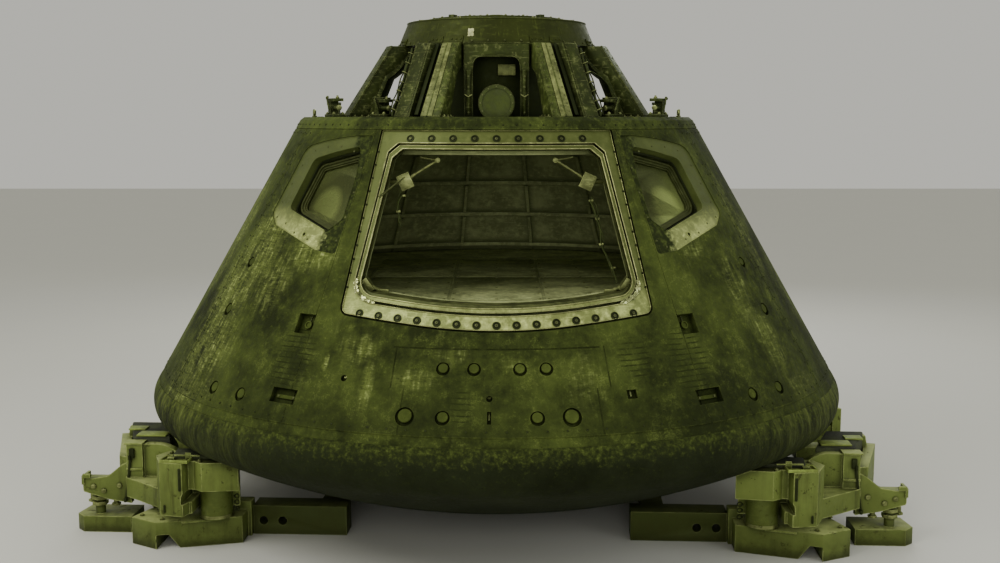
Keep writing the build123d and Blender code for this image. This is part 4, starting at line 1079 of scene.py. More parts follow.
def hatch_bolt_places(rise):
    size = sizes()
    top = [front_place(x, TOP_BOLT_Z, FLANGE_INSET - rise) for x in row_of(size.top_bolts, TOP_BOLT_HALF)]
    sill = row_of(size.sill_bolts, SILL_BOLT_HALF)
    return top + [front_place(x, sill_height(x), FLANGE_INSET - rise) for x in sill]


class CAPSULE_OT_hatch_fasteners(bpy.types.Operator):
    """Sets the cups, bolts and small screws of the side hatch's frame"""

    bl_idname = "capsule.hatch_fasteners"
    bl_label = "Hatch fasteners"

    def execute(self, context):
        size = sizes()
        cup = start(bpy.ops.mesh.primitive_cylinder_add, vertices=CUP_SIDES, radius=size.cup_radius,
                    depth=CUP_HEIGHT)
        shape_top(cup, (size.cup_radius * 0.10, "move", 0.0008), (size.cup_radius * 0.08, "pull", -CUP_DEPTH))
        stamp(cup, hatch_bolt_places(CUP_RISE), "hatch_cups", "dark_metal")
        stamp(bolt(size.bolt_radius, 0.0045, size.bolt_radius * 0.45, 0.003, 20), hatch_bolt_places(CLEAR),
              "hatch_bolts", "bolt_metal")
        screws = []
        for side in (-1, 1):
            for index in range(SIDE_SCREW_COUNT):
                z = SIDE_SCREW_Z + index * SIDE_SCREW_STEP
                x = SIDE_SCREW_HALF - (z - SIDE_SCREW_HALF_Z) * SIDE_SCREW_SLOPE
                screws.append(front_place(side * x, z, FLANGE_INSET - CLEAR))
        stamp(bolt(size.screw_radius, 0.0035, size.screw_radius * 0.4, 0.002, 12), screws, "hatch_side_screws",
              "dark_metal")
        return {"FINISHED"}


# ---------------------------------------------------------------- hull plugs

# Round plugs in the hull: azimuth, height, radius of the recess; the outer ones stand on both sides
FRONT_PLUGS = ((-7.9, 1.390, 0.040), (-3.3, 1.390, 0.040), (3.45, 1.390, 0.040), (7.35, 1.390, 0.040),
               (-12.7, 1.138, 0.056), (-7.4, 1.138, 0.043), (5.6, 1.138, 0.043), (10.4, 1.138, 0.056))
SIDE_PLUGS = ((41.3, 1.145, 0.044), (48.3, 1.142, 0.044), (55.5, 1.579, 0.044), (55.7, 1.875, 0.038))
PLUG_DEPTH = 0.0125

# A plug for a recess of radius 1: sides, radius, height
PLUG_SIDES, PLUG_RADIUS, PLUG_HEIGHT = 40, 0.72, 0.016


class CAPSULE_OT_hull_plugs(bpy.types.Operator):
    """Fills the round recesses in the hull with dished plugs"""

    bl_idname = "capsule.hull_plugs"
    bl_label = "Hull plugs"

    def execute(self, context):
        plug = start(bpy.ops.mesh.primitive_cylinder_add, vertices=PLUG_SIDES, radius=PLUG_RADIUS,
                     depth=PLUG_HEIGHT)
        shape_top(plug, (0.09, "move", 0.0028), (0.10, "move", -0.0014))
        plugs = FRONT_PLUGS + tuple((side * azimuth, z, radius) for side in (1, -1)
                                    for azimuth, z, radius in SIDE_PLUGS)
        stamp(plug, [hull_place(azimuth, z, PLUG_DEPTH) @ Matrix.Diagonal((radius, radius, 1.0, 1.0))
                     for azimuth, z, radius in plugs], "hull_plugs", "plug_char")
        return {"FINISHED"}


# ---------------------------------------------------------------- castings with rounded edges

# Cradle solids and their dressed copies' names, by finish
CRADLE_NODES = (
    ("cradle_paint", (
        ("cradle_yoke_front_right", "yoke_front_right"), ("cradle_yoke_front_left", "yoke_front_left"),
        ("cradle_yoke_rear_right", "yoke_rear_right"), ("cradle_yoke_rear_left", "yoke_rear_left"),
        ("cradle_shoes", "cradle_shoe_castings"), ("cradle_feet", "cradle_foot_plates"))),
    ("beam_paint", (("cradle_beams", "cradle_cross_beams"), ("cradle_rails", "cradle_side_rails"),
                    ("cradle_tie", "cradle_tie_bar"))),
)
PAD_ROUND, ROLLER_ROUND = 0.012, 0.005

# Bay solids and their dressed copies' names: finish, width of the rounded edges, pairs of names
BAY_NODES = (
    ("gusset_mottled", 0.004, (("gusset_front", "bay_gussets_front"),)),
    ("gusset_dark", 0.004, (
        ("gusset_quarter", "bay_gussets_quarter"), ("gusset_side", "bay_gussets_side"),
        ("gusset_rear_side", "bay_gussets_rear_side"), ("gusset_rear", "bay_gussets_rear"))),
    ("bay_metal", 0.004, (("bay_arch", "bay_arch_frame"),)),
    ("bay_metal", 0.003, (
        ("deck_fittings", "deck_fitting_castings"), ("docking_latches", "docking_latch_castings"))),
    ("bare_metal", 0.002, tuple((node, node + "_casting") for node in (
        "hatch_arm_right", "hatch_arm_left", "hatch_latch_right", "hatch_latch_left"))),
)


class CAPSULE_OT_cradle_bodies(bpy.types.Operator):
    """Rounds the edges of the cradle's castings and beams"""

    bl_idname = "capsule.cradle_bodies"
    bl_label = "Cradle bodies"

    def execute(self, context):
        for material, pairs in CRADLE_NODES:
            for node, name in pairs:
                dress(node, name, material, sizes().edge_round)
        dress("cradle_pads", "cradle_rubber_pads", "pad_rubber", PAD_ROUND)
        dress("cradle_rollers", "cradle_roller_drums", "roller_paint", ROLLER_ROUND)
        return {"FINISHED"}


class CAPSULE_OT_bay_bodies(bpy.types.Operator):
    """Rounds the edges of the gussets, the arch and the small castings"""

    bl_idname = "capsule.bay_bodies"
    bl_label = "Bay bodies"

    def execute(self, context):
        for material, width, pairs in BAY_NODES:
            for node, name in pairs:
                dress(node, name, material, width)
        return {"FINISHED"}


# ---------------------------------------------------------------- hatch seals

# Crumpled foil left at the lower corners of the seal: its path by width and height on the hull, how deep
# it lies, its width, how far it stands off, its thickness, and the size, depth and seed of its crumples
FOIL_PATH = ((0.848, 1.846), (0.850, 1.810), (0.842, 1.772), (0.812, 1.741), (0.770, 1.724), (0.726, 1.712))
FOIL_INSET, FOIL_WIDTH, FOIL_LIFT, FOIL_THICKNESS = 0.024, 0.034, 0.008, 0.0007
FOIL_PARTS = 11
CRUMPLE_SCALE, CRUMPLE_DEPTH, CRUMPLE_SEED = 21.0, 0.0110, 5


def shape_foil(foil, side):
    """Lays a grid along the foil's path, with ragged sides and crumples."""
    path = [front_place(side * x, z, FOIL_INSET).translation for x, z in FOIL_PATH]
    steps = [first.lerp(second, part / FOIL_PARTS) for first, second in zip(path, path[1:])
             for part in range(FOIL_PARTS)] + [path[-1]]
    last = len(steps) - 1
    for vertex in foil.data.vertices:
        along = min(last, int((vertex.co.x + 0.5) * last + 0.5))
        centre = steps[along]
        run = (steps[min(last, along + 3)] - steps[max(0, along - 3)]).normalized()
        out = outward(front_place(centre.x, centre.z))
        wide = run.cross(out).normalized()
        ragged = 0.75 + 0.5 * turbulence(Vector((along * 0.31, 3.0 * side, 1.0)), 3, False)
        ends = min(1.0, min(along, last - along) / 6.0 + 0.25)
        point = centre + wide * vertex.co.y * FOIL_WIDTH * ragged * ends
        vertex.co = point + turbulence_vector(point * CRUMPLE_SCALE, 2, True) * CRUMPLE_DEPTH + out * FOIL_LIFT


class CAPSULE_OT_hatch_seals(bpy.types.Operator):
    """Lays the beads of the hatch's seal and the torn foil in its lower corners"""

    bl_idname = "capsule.hatch_seals"
    bl_label = "Hatch seals"

    def execute(self, context):
        seed_set(CRUMPLE_SEED)
        bead("hatch_frame", "hatch_frame_bead", "bead_metal", 0.0040, faces_cone)
        bead("hatch_seal_lip", "hatch_seal_bead", "bead_metal", 0.0042, faces_cone)
        for side, name in SIDES:
            foil = start(bpy.ops.mesh.primitive_grid_add, x_subdivisions=66, y_subdivisions=9, size=1.0)
            shape_foil(foil, side)
            apply_modifier(foil, "SOLIDIFY", thickness=FOIL_THICKNESS, offset=0.0)
            complete(foil, "seal_foil_" + name, "foil", smooth=14.0)
        return {"FINISHED"}


# ---------------------------------------------------------------- windows

# Azimuth where the window's panel starts, and of the window's middle; height of its middle
WINDOW_START_X = 0.728
WINDOW_START = degrees(asin(WINDOW_START_X / hull_radius(RIM_Z)))
WINDOW_AZIMUTH, WINDOW_Z = WINDOW_START + 13.0, 2.38

# Rounding of the stepped frame's corners: the three low ones, and the others
LOW_ROUNDING, HIGH_ROUNDING = 0.075, 0.035

# Steps of the frame round a pane, from its outline: width in, height up
FRAME_STEPS = ((0.0, 0.034), (0.012, -0.011), (0.015, -0.010), (0.004, 0.004), (0.006, -0.010))

# Screws of a window surround: degrees from the panel's start, height
SURROUND_SCREWS = ((6.4, 2.60), (11.5, 2.63), (16.5, 2.625), (21.5, 2.60), (24.6, 2.50), (25.1, 2.38),
                   (25.5, 2.26), (24.4, 2.165), (19.6, 2.135), (15.2, 2.085), (10.4, 2.055), (4.6, 2.02),
                   (2.6, 2.06), (2.3, 2.20), (2.3, 2.35), (2.5, 2.50))
SURROUND_INSET = 0.0085


def pane_corners(node, out):
    """The corners of a pane's outline with its roundings left off: where its long edges meet."""
    mesh = bmesh.new()
    mesh.from_mesh(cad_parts[node].data)
    bmesh.ops.remove_doubles(mesh, verts=mesh.verts, dist=SAME_POINT)
    bmesh.ops.delete(mesh, geom=[face for face in mesh.faces if face.normal.dot(out) < 0.9], context="FACES")
    bmesh.ops.dissolve_limit(mesh, angle_limit=radians(1.0), verts=mesh.verts, edges=mesh.edges)
    face = max(mesh.faces, key=lambda item: item.calc_area())
    points = [vertex.co.copy() for vertex in face.verts]
    mesh.free()
    long_edges = [(first, second) for first, second in zip(points, points[1:] + points[:1])
                  if (second - first).length > 0.060]
    corners = []
    for (a, b), (c, d) in zip(long_edges, long_edges[1:] + long_edges[:1]):
        meeting = intersect_line_line(a, b, c, d)
        corners.append((meeting[0] + meeting[1]) / 2)
    return corners


def stepped_frame(corners, out, name, material, roundings, steps):
    """A closed frame on an outline: its corners rounded, and each step in by a width and up by a height."""
    piece = start(bpy.ops.mesh.primitive_circle_add, vertices=len(corners), radius=1.0, fill_type="NGON")
    for vertex, corner in zip(piece.data.vertices, corners):
        vertex.co = corner
    open_edit(piece)
    for corner, rounding in zip(corners, roundings):
        select_where(piece, "VERT", lambda vertex: (vertex.co - corner).length < 0.001)
        bpy.ops.mesh.bevel(offset=rounding, segments=7, affect="VERTICES")
    bpy.ops.mesh.select_mode(type="FACE")
    bpy.ops.mesh.select_all(action="SELECT")
    for width, height in steps:
        if width:
            bpy.ops.mesh.inset(thickness=width)
        extrude(tuple(out * height))
    bpy.ops.mesh.delete(type="ONLY_FACE")
    bpy.ops.mesh.select_mode(type="EDGE")
    bpy.ops.mesh.select_all(action="DESELECT")
    bpy.ops.mesh.select_non_manifold()
    bpy.ops.mesh.bridge_edge_loops()
    bpy.ops.mesh.select_all(action="SELECT")
    bpy.ops.mesh.normals_make_consistent(inside=False)
    close_edit()
    return complete(piece, name, material, smooth=30.0)


class CAPSULE_OT_window_trim(bpy.types.Operator):
    """Lays the gaskets round the panes and the screws of the window surrounds"""

    bl_idname = "capsule.window_trim"
    bl_label = "Window trim"

    def execute(self, context):
        for side, name in SIDES:
            out = outward(hull_place(side * WINDOW_AZIMUTH, WINDOW_Z))
            corners = pane_corners("window_pane_" + name, out)
            low = sorted(corners, key=lambda corner: corner.z)[:3]
            roundings = [LOW_ROUNDING if corner in low else HIGH_ROUNDING for corner in corners]
            stepped_frame(corners, out, "window_steps_" + name, "window_metal", roundings, FRAME_STEPS)
            bead("window_frame_" + name, "window_gasket_" + name, "gasket_rubber", 0.0055,
                 lambda face: face.normal.dot(out) > 0.98)
            bead("window_surround_" + name, "window_lip_" + name, "surround_metal", 0.0035, faces_cone)
            screws = [hull_place(side * (WINDOW_START + step), z, SURROUND_INSET)
                      for step, z in SURROUND_SCREWS]
            stamp(bolt(*HEADS["window_screws"]), screws, "window_screws_" + name, "bolt_metal")
        return {"FINISHED"}


# ---------------------------------------------------------------- pockets and small holes

# Pockets on both sides: azimuth and height of their middles, and depth of what sits in them
SQUARE_POCKET = (WINDOW_START + 3.1, 1.580, 0.043)
SLOT_POCKET = (WINDOW_START + 2.6, 1.182, 0.039)

# The square pocket's button: sides, radius, height and place; bars of the rib over it, and its place up
BUTTON, RIB_BARS, RIB_UP = (28, 0.026, 0.014, (0.0, -0.020, 0.0)), ((0.118, 0.010), (0.010, 0.100)), 0.045

# The slot pocket's plate: size and rounding, its place up, and its screws' places across and lift
SLOT_PLATE, SLOT_PLATE_UP = (0.150, 0.024, 0.012, 0.003), -0.022
SLOT_SCREWS, SLOT_LIFT = (-0.058, 0.058), 0.0118

# Small holes and slots in the front: azimuth, height, depth
DRAIN_HOLES = ((-1.0, 1.239, 0.029), (-23.0, 1.312, 0.025))
KEY_SLOTS = ((-1.0, 1.143, 0.029), (19.7, 1.237, 0.029))


def both_sides(azimuth, z, inset, x=0.0, y=0.0):
    """Places on the hull at one spot on the right and on the left, moved across and up by x and y."""
    return [hull_place(side * azimuth, z, inset) @ flat_place(x, y, 0.0) for side in (1, -1)]


class CAPSULE_OT_pocket_fittings(bpy.types.Operator):
    """Sets the buttons, plates and screws inside the hull's pockets"""

    bl_idname = "capsule.pocket_fittings"
    bl_label = "Pocket fittings"

    def execute(self, context):
        button = drum(*BUTTON)
        shape_top(button, (0.004, "move", 0.002), (0.006, "pull", -0.006))
        stamp(button, both_sides(*SQUARE_POCKET), "pocket_buttons", "plug_char")
        stamp(join([strip(*bar, 0.006) for bar in RIB_BARS]), both_sides(*SQUARE_POCKET, 0.0, RIB_UP),
              "pocket_ribs", "bay_metal")
        plates = both_sides(*SLOT_POCKET, 0.0, SLOT_PLATE_UP)
        stamp(strip(*SLOT_PLATE), plates, "slot_plates", "plug_char")
        set_heads("slot_plate_screws", "bolt_metal",
                  [place @ flat_place(x, 0.0, SLOT_LIFT) for place in plates for x in SLOT_SCREWS])
        set_heads("drain_screws", "bare_metal", [hull_place(*hole) for hole in DRAIN_HOLES])
        stamp(strip(0.010, 0.050, 0.010, 0.002), [hull_place(*slot) for slot in KEY_SLOTS], "slot_keys",
              "bare_metal")
        return {"FINISHED"}


# ---------------------------------------------------------------- panel joints and their screws

# Upright panel joints: azimuths of those with screws, and of the front ones on both sides, without
PANEL_JOINTS = (62.0, 118.0, 180.0, -118.0, -62.0)
FRONT_JOINT = WINDOW_START + 1.4
JOINT_SCREWS, JOINT_SCREW_Z, JOINT_SCREW_STEP, JOINT_SCREW_REACH = 24, FOOT_Z + 0.10, 0.068, 0.030

# Rings of small screws: name, height, how many, share of the screws' size, and the azimuth kept free
# on each side of the hatch
SCREW_RINGS = (
    ("rim_screws", RIM_Z + 0.024, 108, 0.9, 0.0),
    ("foot_screws", FOOT_Z + 0.030, 132, 0.9, 0.0),
    ("panel_head_screws", RIM_Z - 0.032, 96, 0.8, 58.0),
)

# Width of the joints between the hull's panels, and how far their packing lies under the skin
JOINT_WIDTH, PACKING_DEPTH = 0.007, 0.0016

# Heights between which the front joints are packed, clear of the pockets
FRONT_PACKING = ((FOOT_Z + 0.001, 1.142), (1.222, 1.520), (1.641, RIM_Z - 0.008))


class CAPSULE_OT_hull_screws(bpy.types.Operator):
    """Sets the small screws along the rim, the shoulder and the joints of the panels"""

    bl_idname = "capsule.hull_screws"
    bl_label = "Hull screws"

    def execute(self, context):
        head = sizes().screw_radius
        for name, z, count, share, free in SCREW_RINGS:
            radius = head * share
            azimuths = [360.0 * (index + 0.5) / count - 180.0 for index in range(count)]
            stamp(bolt(radius, 0.0030, radius * 0.45, 0.0018, 12),
                  [hull_place(azimuth, z, CLEAR) for azimuth in azimuths if abs(azimuth) >= free],
                  name, "dark_metal")
        places = []
        for azimuth in PANEL_JOINTS:
            for side in (-1.0, 1.0):
                for index in range(JOINT_SCREWS):
                    z = JOINT_SCREW_Z + index * JOINT_SCREW_STEP
                    reach = degrees(JOINT_SCREW_REACH / hull_radius(z))
                    places.append(hull_place(azimuth + side * reach, z, CLEAR))
        stamp(bolt(head * 0.85, 0.0028, head * 0.4, 0.0016, 12), places, "panel_joint_screws", "dark_metal")
        return {"FINISHED"}


class CAPSULE_OT_seam_packing(bpy.types.Operator):
    """Packs the joints between the hull's panels with charred filler, a little under the skin"""

    bl_idname = "capsule.seam_packing"
    bl_label = "Seam packing"

    def execute(self, context):
        rings = []
        for low in (FOOT_Z - JOINT_WIDTH, RIM_Z - JOINT_WIDTH):
            high = low + JOINT_WIDTH
            outer = hull_radius(high, PACKING_DEPTH)
            rings.append(turned_ring(outer - 0.016, outer, low + 0.0003, high - 0.0003, 192))
        complete(join(rings), "ring_seam_packing", "packing_char")
        long = hypot(FOOT_RADIUS - RIM_RADIUS, RIM_Z - FOOT_Z) - JOINT_WIDTH - 0.004
        bar = block(JOINT_WIDTH - 0.0008, long, 0.012, (0.0, 0.0, -0.006), 0.0006, 1)
        middle_z = (FOOT_Z + RIM_Z - JOINT_WIDTH) / 2
        joints = [hull_place(azimuth, middle_z, PACKING_DEPTH) for azimuth in PANEL_JOINTS]
        for low, high in FRONT_PACKING:
            share = (high - low) / cos(HULL_ANGLE) / long
            joints += [hull_place(side * FRONT_JOINT, (low + high) / 2, PACKING_DEPTH)
                       @ Matrix.Diagonal((1.0, share, 1.0, 1.0)) for side in (1, -1)]
        stamp(bar, joints, "panel_seam_packing", "packing_char")
        return {"FINISHED"}


# ---------------------------------------------------------------- gusset trim

BAY_LOW, BAY_HIGH = DECK_Z, RING_LOW.z
GUSSET_FOOT = 1.1324

# Gussets: name, azimuth, radius at the top, set back at the foot, width at the top and foot
GUSSETS = (
    ("front", 22.5, 0.805, 0.000, 0.122, 0.146),
    ("quarter", 35.0, 0.858, 0.030, 0.124, 0.130),
    ("side", 67.5, 0.805, 0.000, 0.100, 0.122),
    ("rear_side", 112.5, 0.805, 0.000, 0.100, 0.122),
    ("rear", 157.5, 0.805, 0.000, 0.122, 0.146),
)
QUARTER = GUSSETS[1]
CAPPED = ("side", "rear_side")

# Strips up the gussets' faces: their gussets and piece; share of the gusset's width and what is added to it;
# share of that width to move outwards and what is added to it; thickness and lift
STRIPS = (
    (("front", "rear"), "gusset_pale_strips", 0.56, 0.0, 0.22, -0.005, 0.006, 0.0),
    (("front", "rear"), "gusset_dark_strips", 0.0, 0.007, 0.1528, 0.0, 0.009, 0.0),
    (("front", "rear"), "gusset_dark_strips", 0.32, 0.0, -0.34, 0.006, 0.004, 0.0),
    (("quarter",), "gusset_quarter_faces", 1.0, -0.030, 0.0, 0.0, 0.004, 0.0),
    (CAPPED, "gusset_caps", 1.0, 0.022, 0.0, 0.0, 0.012, 0.0005),
)
STRIP_FINISHES = {"gusset_pale_strips": "gusset_pale", "gusset_dark_strips": "gusset_mottled",
                  "gusset_quarter_faces": "gusset_dark", "gusset_caps": "gusset_dark"}
STRIP_MARGIN, STRIP_ROUND = 0.012, 0.0012

# Screws up each edge of a gusset: how many, and their reach in and lift, on capped gussets and on the others
EDGE_SCREWS = 9
CAPPED_SCREW, OPEN_SCREW = (0.016, 0.0120), (0.018, 0.0035)

# Rails and their webs between the front gussets: azimuth, radius at the top, set back, and size across and out
RAIL, RAIL_SIZE = (29.5, 0.790, 0.060), (0.030, 0.014, 0.003)
WEB, WEB_SIZE = (29.25, 0.775, 0.080), (0.034, 0.006, 0.0015)
RAIL_MARGIN = 0.020

# Clips beside the gussets' feet: how far in from the foot, and out from the gusset's side
CLIP_ROWS, CLIP_REACH = (0.035, 0.085, 0.130), 0.016


def gusset_place(azimuth, top_radius, set_back, up=0.5):
    """A matrix on a gusset's outer face: Z out, Y up the face. Up runs from 0 at the foot to 1 at the top."""
    foot = GUSSET_FOOT - set_back
    rise = BAY_HIGH - BAY_LOW
    lean = degrees(atan2(foot - top_radius, rise))
    return ring_place(azimuth, foot + (top_radius - foot) * up, BAY_LOW + rise * up, 90.0 - lean)


def gusset_length(top_radius, set_back):
    return hypot(GUSSET_FOOT - set_back - top_radius, BAY_HIGH - BAY_LOW)


def gusset_strip(gusset, side, share, more, shift, shift_more, thick, lift):
    """A strip up a gusset's outer face, each end as wide and as far out as the gusset's own width says."""
    _, azimuth, top, back, width_top, width_foot = gusset
    piece = block(1.0, gusset_length(top, back) - STRIP_MARGIN, thick, (0.0, 0.0, thick / 2), 0.0)
    for vertex in piece.data.vertices:
        wide = width_foot if vertex.co.y < 0.0 else width_top
        vertex.co.x = vertex.co.x * (wide * share + more) + side * (wide * shift + shift_more)
    round_edges(piece, STRIP_ROUND)
    piece.matrix_world = gusset_place(side * azimuth, top, back) @ flat_place(0.0, 0.0, lift)
    return piece


class CAPSULE_OT_gusset_trim(bpy.types.Operator):
    """Faces the gussets with their strips, caps, rails and screws"""

    bl_idname = "capsule.gusset_trim"
    bl_label = "Gusset trim"

    def execute(self, context):
        strips = {name: [] for name in STRIP_FINISHES}
        screws, clips = [], []
        for gusset in GUSSETS:
            name, azimuth, top, back, width_top, width_foot = gusset
            reach, lift = CAPPED_SCREW if name in CAPPED else OPEN_SCREW
            for side in (1, -1):
                for names, piece, *measures in STRIPS:
                    if name in names:
                        strips[piece].append(gusset_strip(gusset, side, *measures))
                for index in range(EDGE_SCREWS):
                    up = (index + 0.6) / (EDGE_SCREWS + 0.2)
                    half = (width_foot + (width_top - width_foot) * up) / 2
                    screws += [gusset_place(side * azimuth, top, back, up)
                               @ flat_place(edge * (half - reach), 0.0, lift) for edge in (-1, 1)]
                for edge in (1, -1):
                    if name == "front" and edge == side or name == "quarter" and edge != side:
                        continue
                    x = edge * (width_foot / 2 + CLIP_REACH)
                    clips += [ring_place(side * azimuth, GUSSET_FOOT - back - inward, BAY_LOW + CLEAR)
                              @ flat_place(x, 0.0, 0.0) for inward in CLIP_ROWS]
        for name, material in STRIP_FINISHES.items():
            complete(join(strips[name]), name, material)
        set_heads("gusset_screws", "bolt_metal", screws)
        for (azimuth, *measures), (wide, thick, rounding), name, material in (
                (RAIL, RAIL_SIZE, "bay_rails", "tunnel_metal"), (WEB, WEB_SIZE, "bay_rail_webs", "dark_metal")):
            rail = strip(wide, gusset_length(*measures) - RAIL_MARGIN, thick, rounding)
            stamp(rail, [gusset_place(side * azimuth, *measures) for side in (1, -1)], name, material)
        clip = blocks(((0.026, 0.036, 0.006), (0.0, 0.0, 0.003), 0.0015),
                      ((0.010, 0.010, 0.014), (0.0, 0.0, 0.008), 0.0025))
        stamp(clip, clips, "gusset_foot_clips", "bare_metal")
        return {"FINISHED"}


# ---------------------------------------------------------------- bay harness and brackets

# Wires up the outer side of the quarter gussets: share of the harness radius, then for each point
# the part of the way up, distance out from the gusset's side and lift off its face
WIRE_RUNS = (
    (1.0, ((0.02, 0.020, -0.010), (0.12, 0.030, 0.002), (0.24, 0.018, -0.012), (0.38, 0.026, 0.000),
           (0.52, 0.014, -0.010), (0.66, 0.022, 0.004), (0.80, 0.012, -0.008), (0.93, 0.020, 0.000))),
    (1.0, ((0.03, 0.038, -0.030), (0.16, 0.026, -0.028), (0.30, 0.036, -0.022), (0.44, 0.022, -0.030),
           (0.58, 0.034, -0.020), (0.70, 0.018, -0.030), (0.82, 0.026, -0.024))),
    (0.5, ((0.05, 0.050, -0.014), (0.20, 0.044, 0.010), (0.34, 0.050, -0.020), (0.50, 0.034, 0.012),
           (0.64, 0.040, -0.016), (0.78, 0.030, 0.008))),
    (0.5, ((0.04, 0.012, -0.052), (0.18, 0.022, -0.044), (0.33, 0.012, -0.056), (0.47, 0.022, -0.040),
           (0.62, 0.012, -0.052), (0.76, 0.020, -0.040), (0.90, 0.012, -0.052))),
)
LOOSE_LOOP = ((0.62, 0.04, 0.0), (0.56, 0.10, 0.01), (0.46, 0.16, 0.0), (0.34, 0.20, -0.02),
              (0.25, 0.24, -0.03))
LOOP_RADIUS = 0.0032

# Ties round the wires: parts of the way up, distance out from the gusset, lift, turn; their two radii
TIE_HEIGHTS, TIE_OUT, TIE_LIFT, TIE_TURN = (0.10, 0.22, 0.35, 0.47, 0.60, 0.73, 0.86), 0.022, -0.014, 14.0
TIE_RADIUS, TIE_WIRE = 0.026, 0.0032

# Brackets beside the wires: azimuth, radius, then a size, a middle and a rounding for the cap, post and foot,
# and the same for the rounded box under the cap
BRACKET_AZIMUTH, BRACKET_RADIUS = 49.5, 1.020
BRACKET_BLOCKS = (((0.098, 0.070, 0.012), (0.0, 0.0, 0.126), 0.003),
                  ((0.016, 0.060, 0.120), (-0.03, 0.0, 0.060), 0.002),
                  ((0.070, 0.060, 0.008), (0.0, 0.0, 0.004), 0.002))
BRACKET_BOX = (0.036, 0.044, 0.050, (0.020, 0.0, 0.029), 0.010, 3)


def beside_gusset(gusset, side, up, out, lift, turn=0.0):
    """A matrix beside a gusset: part of the way up, so far out from its side and lifted off its face."""
    _, azimuth, top, back, width_top, width_foot = gusset
    half = (width_foot + (width_top - width_foot) * up) / 2
    return gusset_place(side * azimuth, top, back, up) @ flat_place(side * (half + out), 0.0, lift, "Z", turn)


class CAPSULE_OT_bay_harness(bpy.types.Operator):
    """Runs the clamped wire bundles up the quarter gussets, with their ties and loops"""

    bl_idname = "capsule.bay_harness"
    bl_label = "Bay harness"

    def execute(self, context):
        radius = sizes().harness_radius
        runs, ties = [], []
        for side in (1, -1):
            for share, points in WIRE_RUNS:
                path = [beside_gusset(QUARTER, side, *point).translation for point in points]
                runs.append(tube(path, radius * share, 6, 3))
            ties += [beside_gusset(QUARTER, side, up, TIE_OUT, TIE_LIFT, side * TIE_TURN) for up in TIE_HEIGHTS]
            if side > 0:
                path = [beside_gusset(QUARTER, side, *point).translation for point in LOOSE_LOOP]
                runs.append(tube(path, LOOP_RADIUS, 6, 2))
        complete(join(runs), "bay_harness", "harness", smooth=60.0)
        tie = start(bpy.ops.mesh.primitive_torus_add, major_radius=TIE_RADIUS, minor_radius=TIE_WIRE,
                    major_segments=20, minor_segments=6, rotation=(pi / 2, 0.0, 0.0))
        stamp(settle(tie), ties, "bay_harness_ties", "bare_metal")
        brackets = [ring_place(side * BRACKET_AZIMUTH, BRACKET_RADIUS, BAY_LOW)
                    @ Matrix.Diagonal((side, 1.0, 1.0, 1.0)) for side in (1, -1)]
        bracket = join([blocks(*BRACKET_BLOCKS), block(*BRACKET_BOX)])
        weld(stamp(bracket, brackets, "bay_brackets", "bay_metal"))
        return {"FINISHED"}


# ---------------------------------------------------------------- arch and canister

# The arch: its front face, its posts' distance from the middle, and the height of the joints over the deck
ARCH_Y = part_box("bay_arch")[0].y + 0.029
POST_X, POST_RADIUS, POST_LENGTH, POST_NARROW = 0.189, 0.019, 0.300, 0.82
JOINT_RISE, JOINT_LEAN, JOINT_REACH = 0.142, 32.0, 0.0125

# Screws of the arch: height over the deck, distance in front of its face
ARCH_SCREWS = ((0.03, 0.030), (0.20, 0.030), (0.27, 0.030), (0.36, 0.0))

# The canister: its front, its middle's height, places of its bands behind its front, radius of its bolt ring
CANISTER_Y, CANISTER_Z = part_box("bay_canister")[0].y, DECK_Z + 0.092
BANDS_BACK, CANISTER_BOLT_RADIUS = (0.050, 0.205), 0.108

# Inner and outer radius and half the length of the canister's bands and of its rim; the plate behind the arch
BAND, CANISTER_RIM = (0.1165, 0.1225, 0.011), (0.098, 0.1165, 0.004)
BACK_PLATE = (0.120, 0.012, 0.074, (0.070, -0.560, 3.140), 0.003)


def canister_ring(inner, outer, half, y):
    """A ring lying round the canister, cut off where the deck is."""
    ring = settle(turned_ring(inner, outer, -half, half, 64), flat_place(0.0, y, CANISTER_Z, "X", 90.0))
    open_edit(ring, "FACE", lambda face: True)
    bpy.ops.mesh.bisect(plane_co=(0.0, 0.0, DECK_Z + 0.001), plane_no=(0.0, 0.0, 1.0), clear_inner=True,
                        use_fill=True)
    close_edit()
    return ring


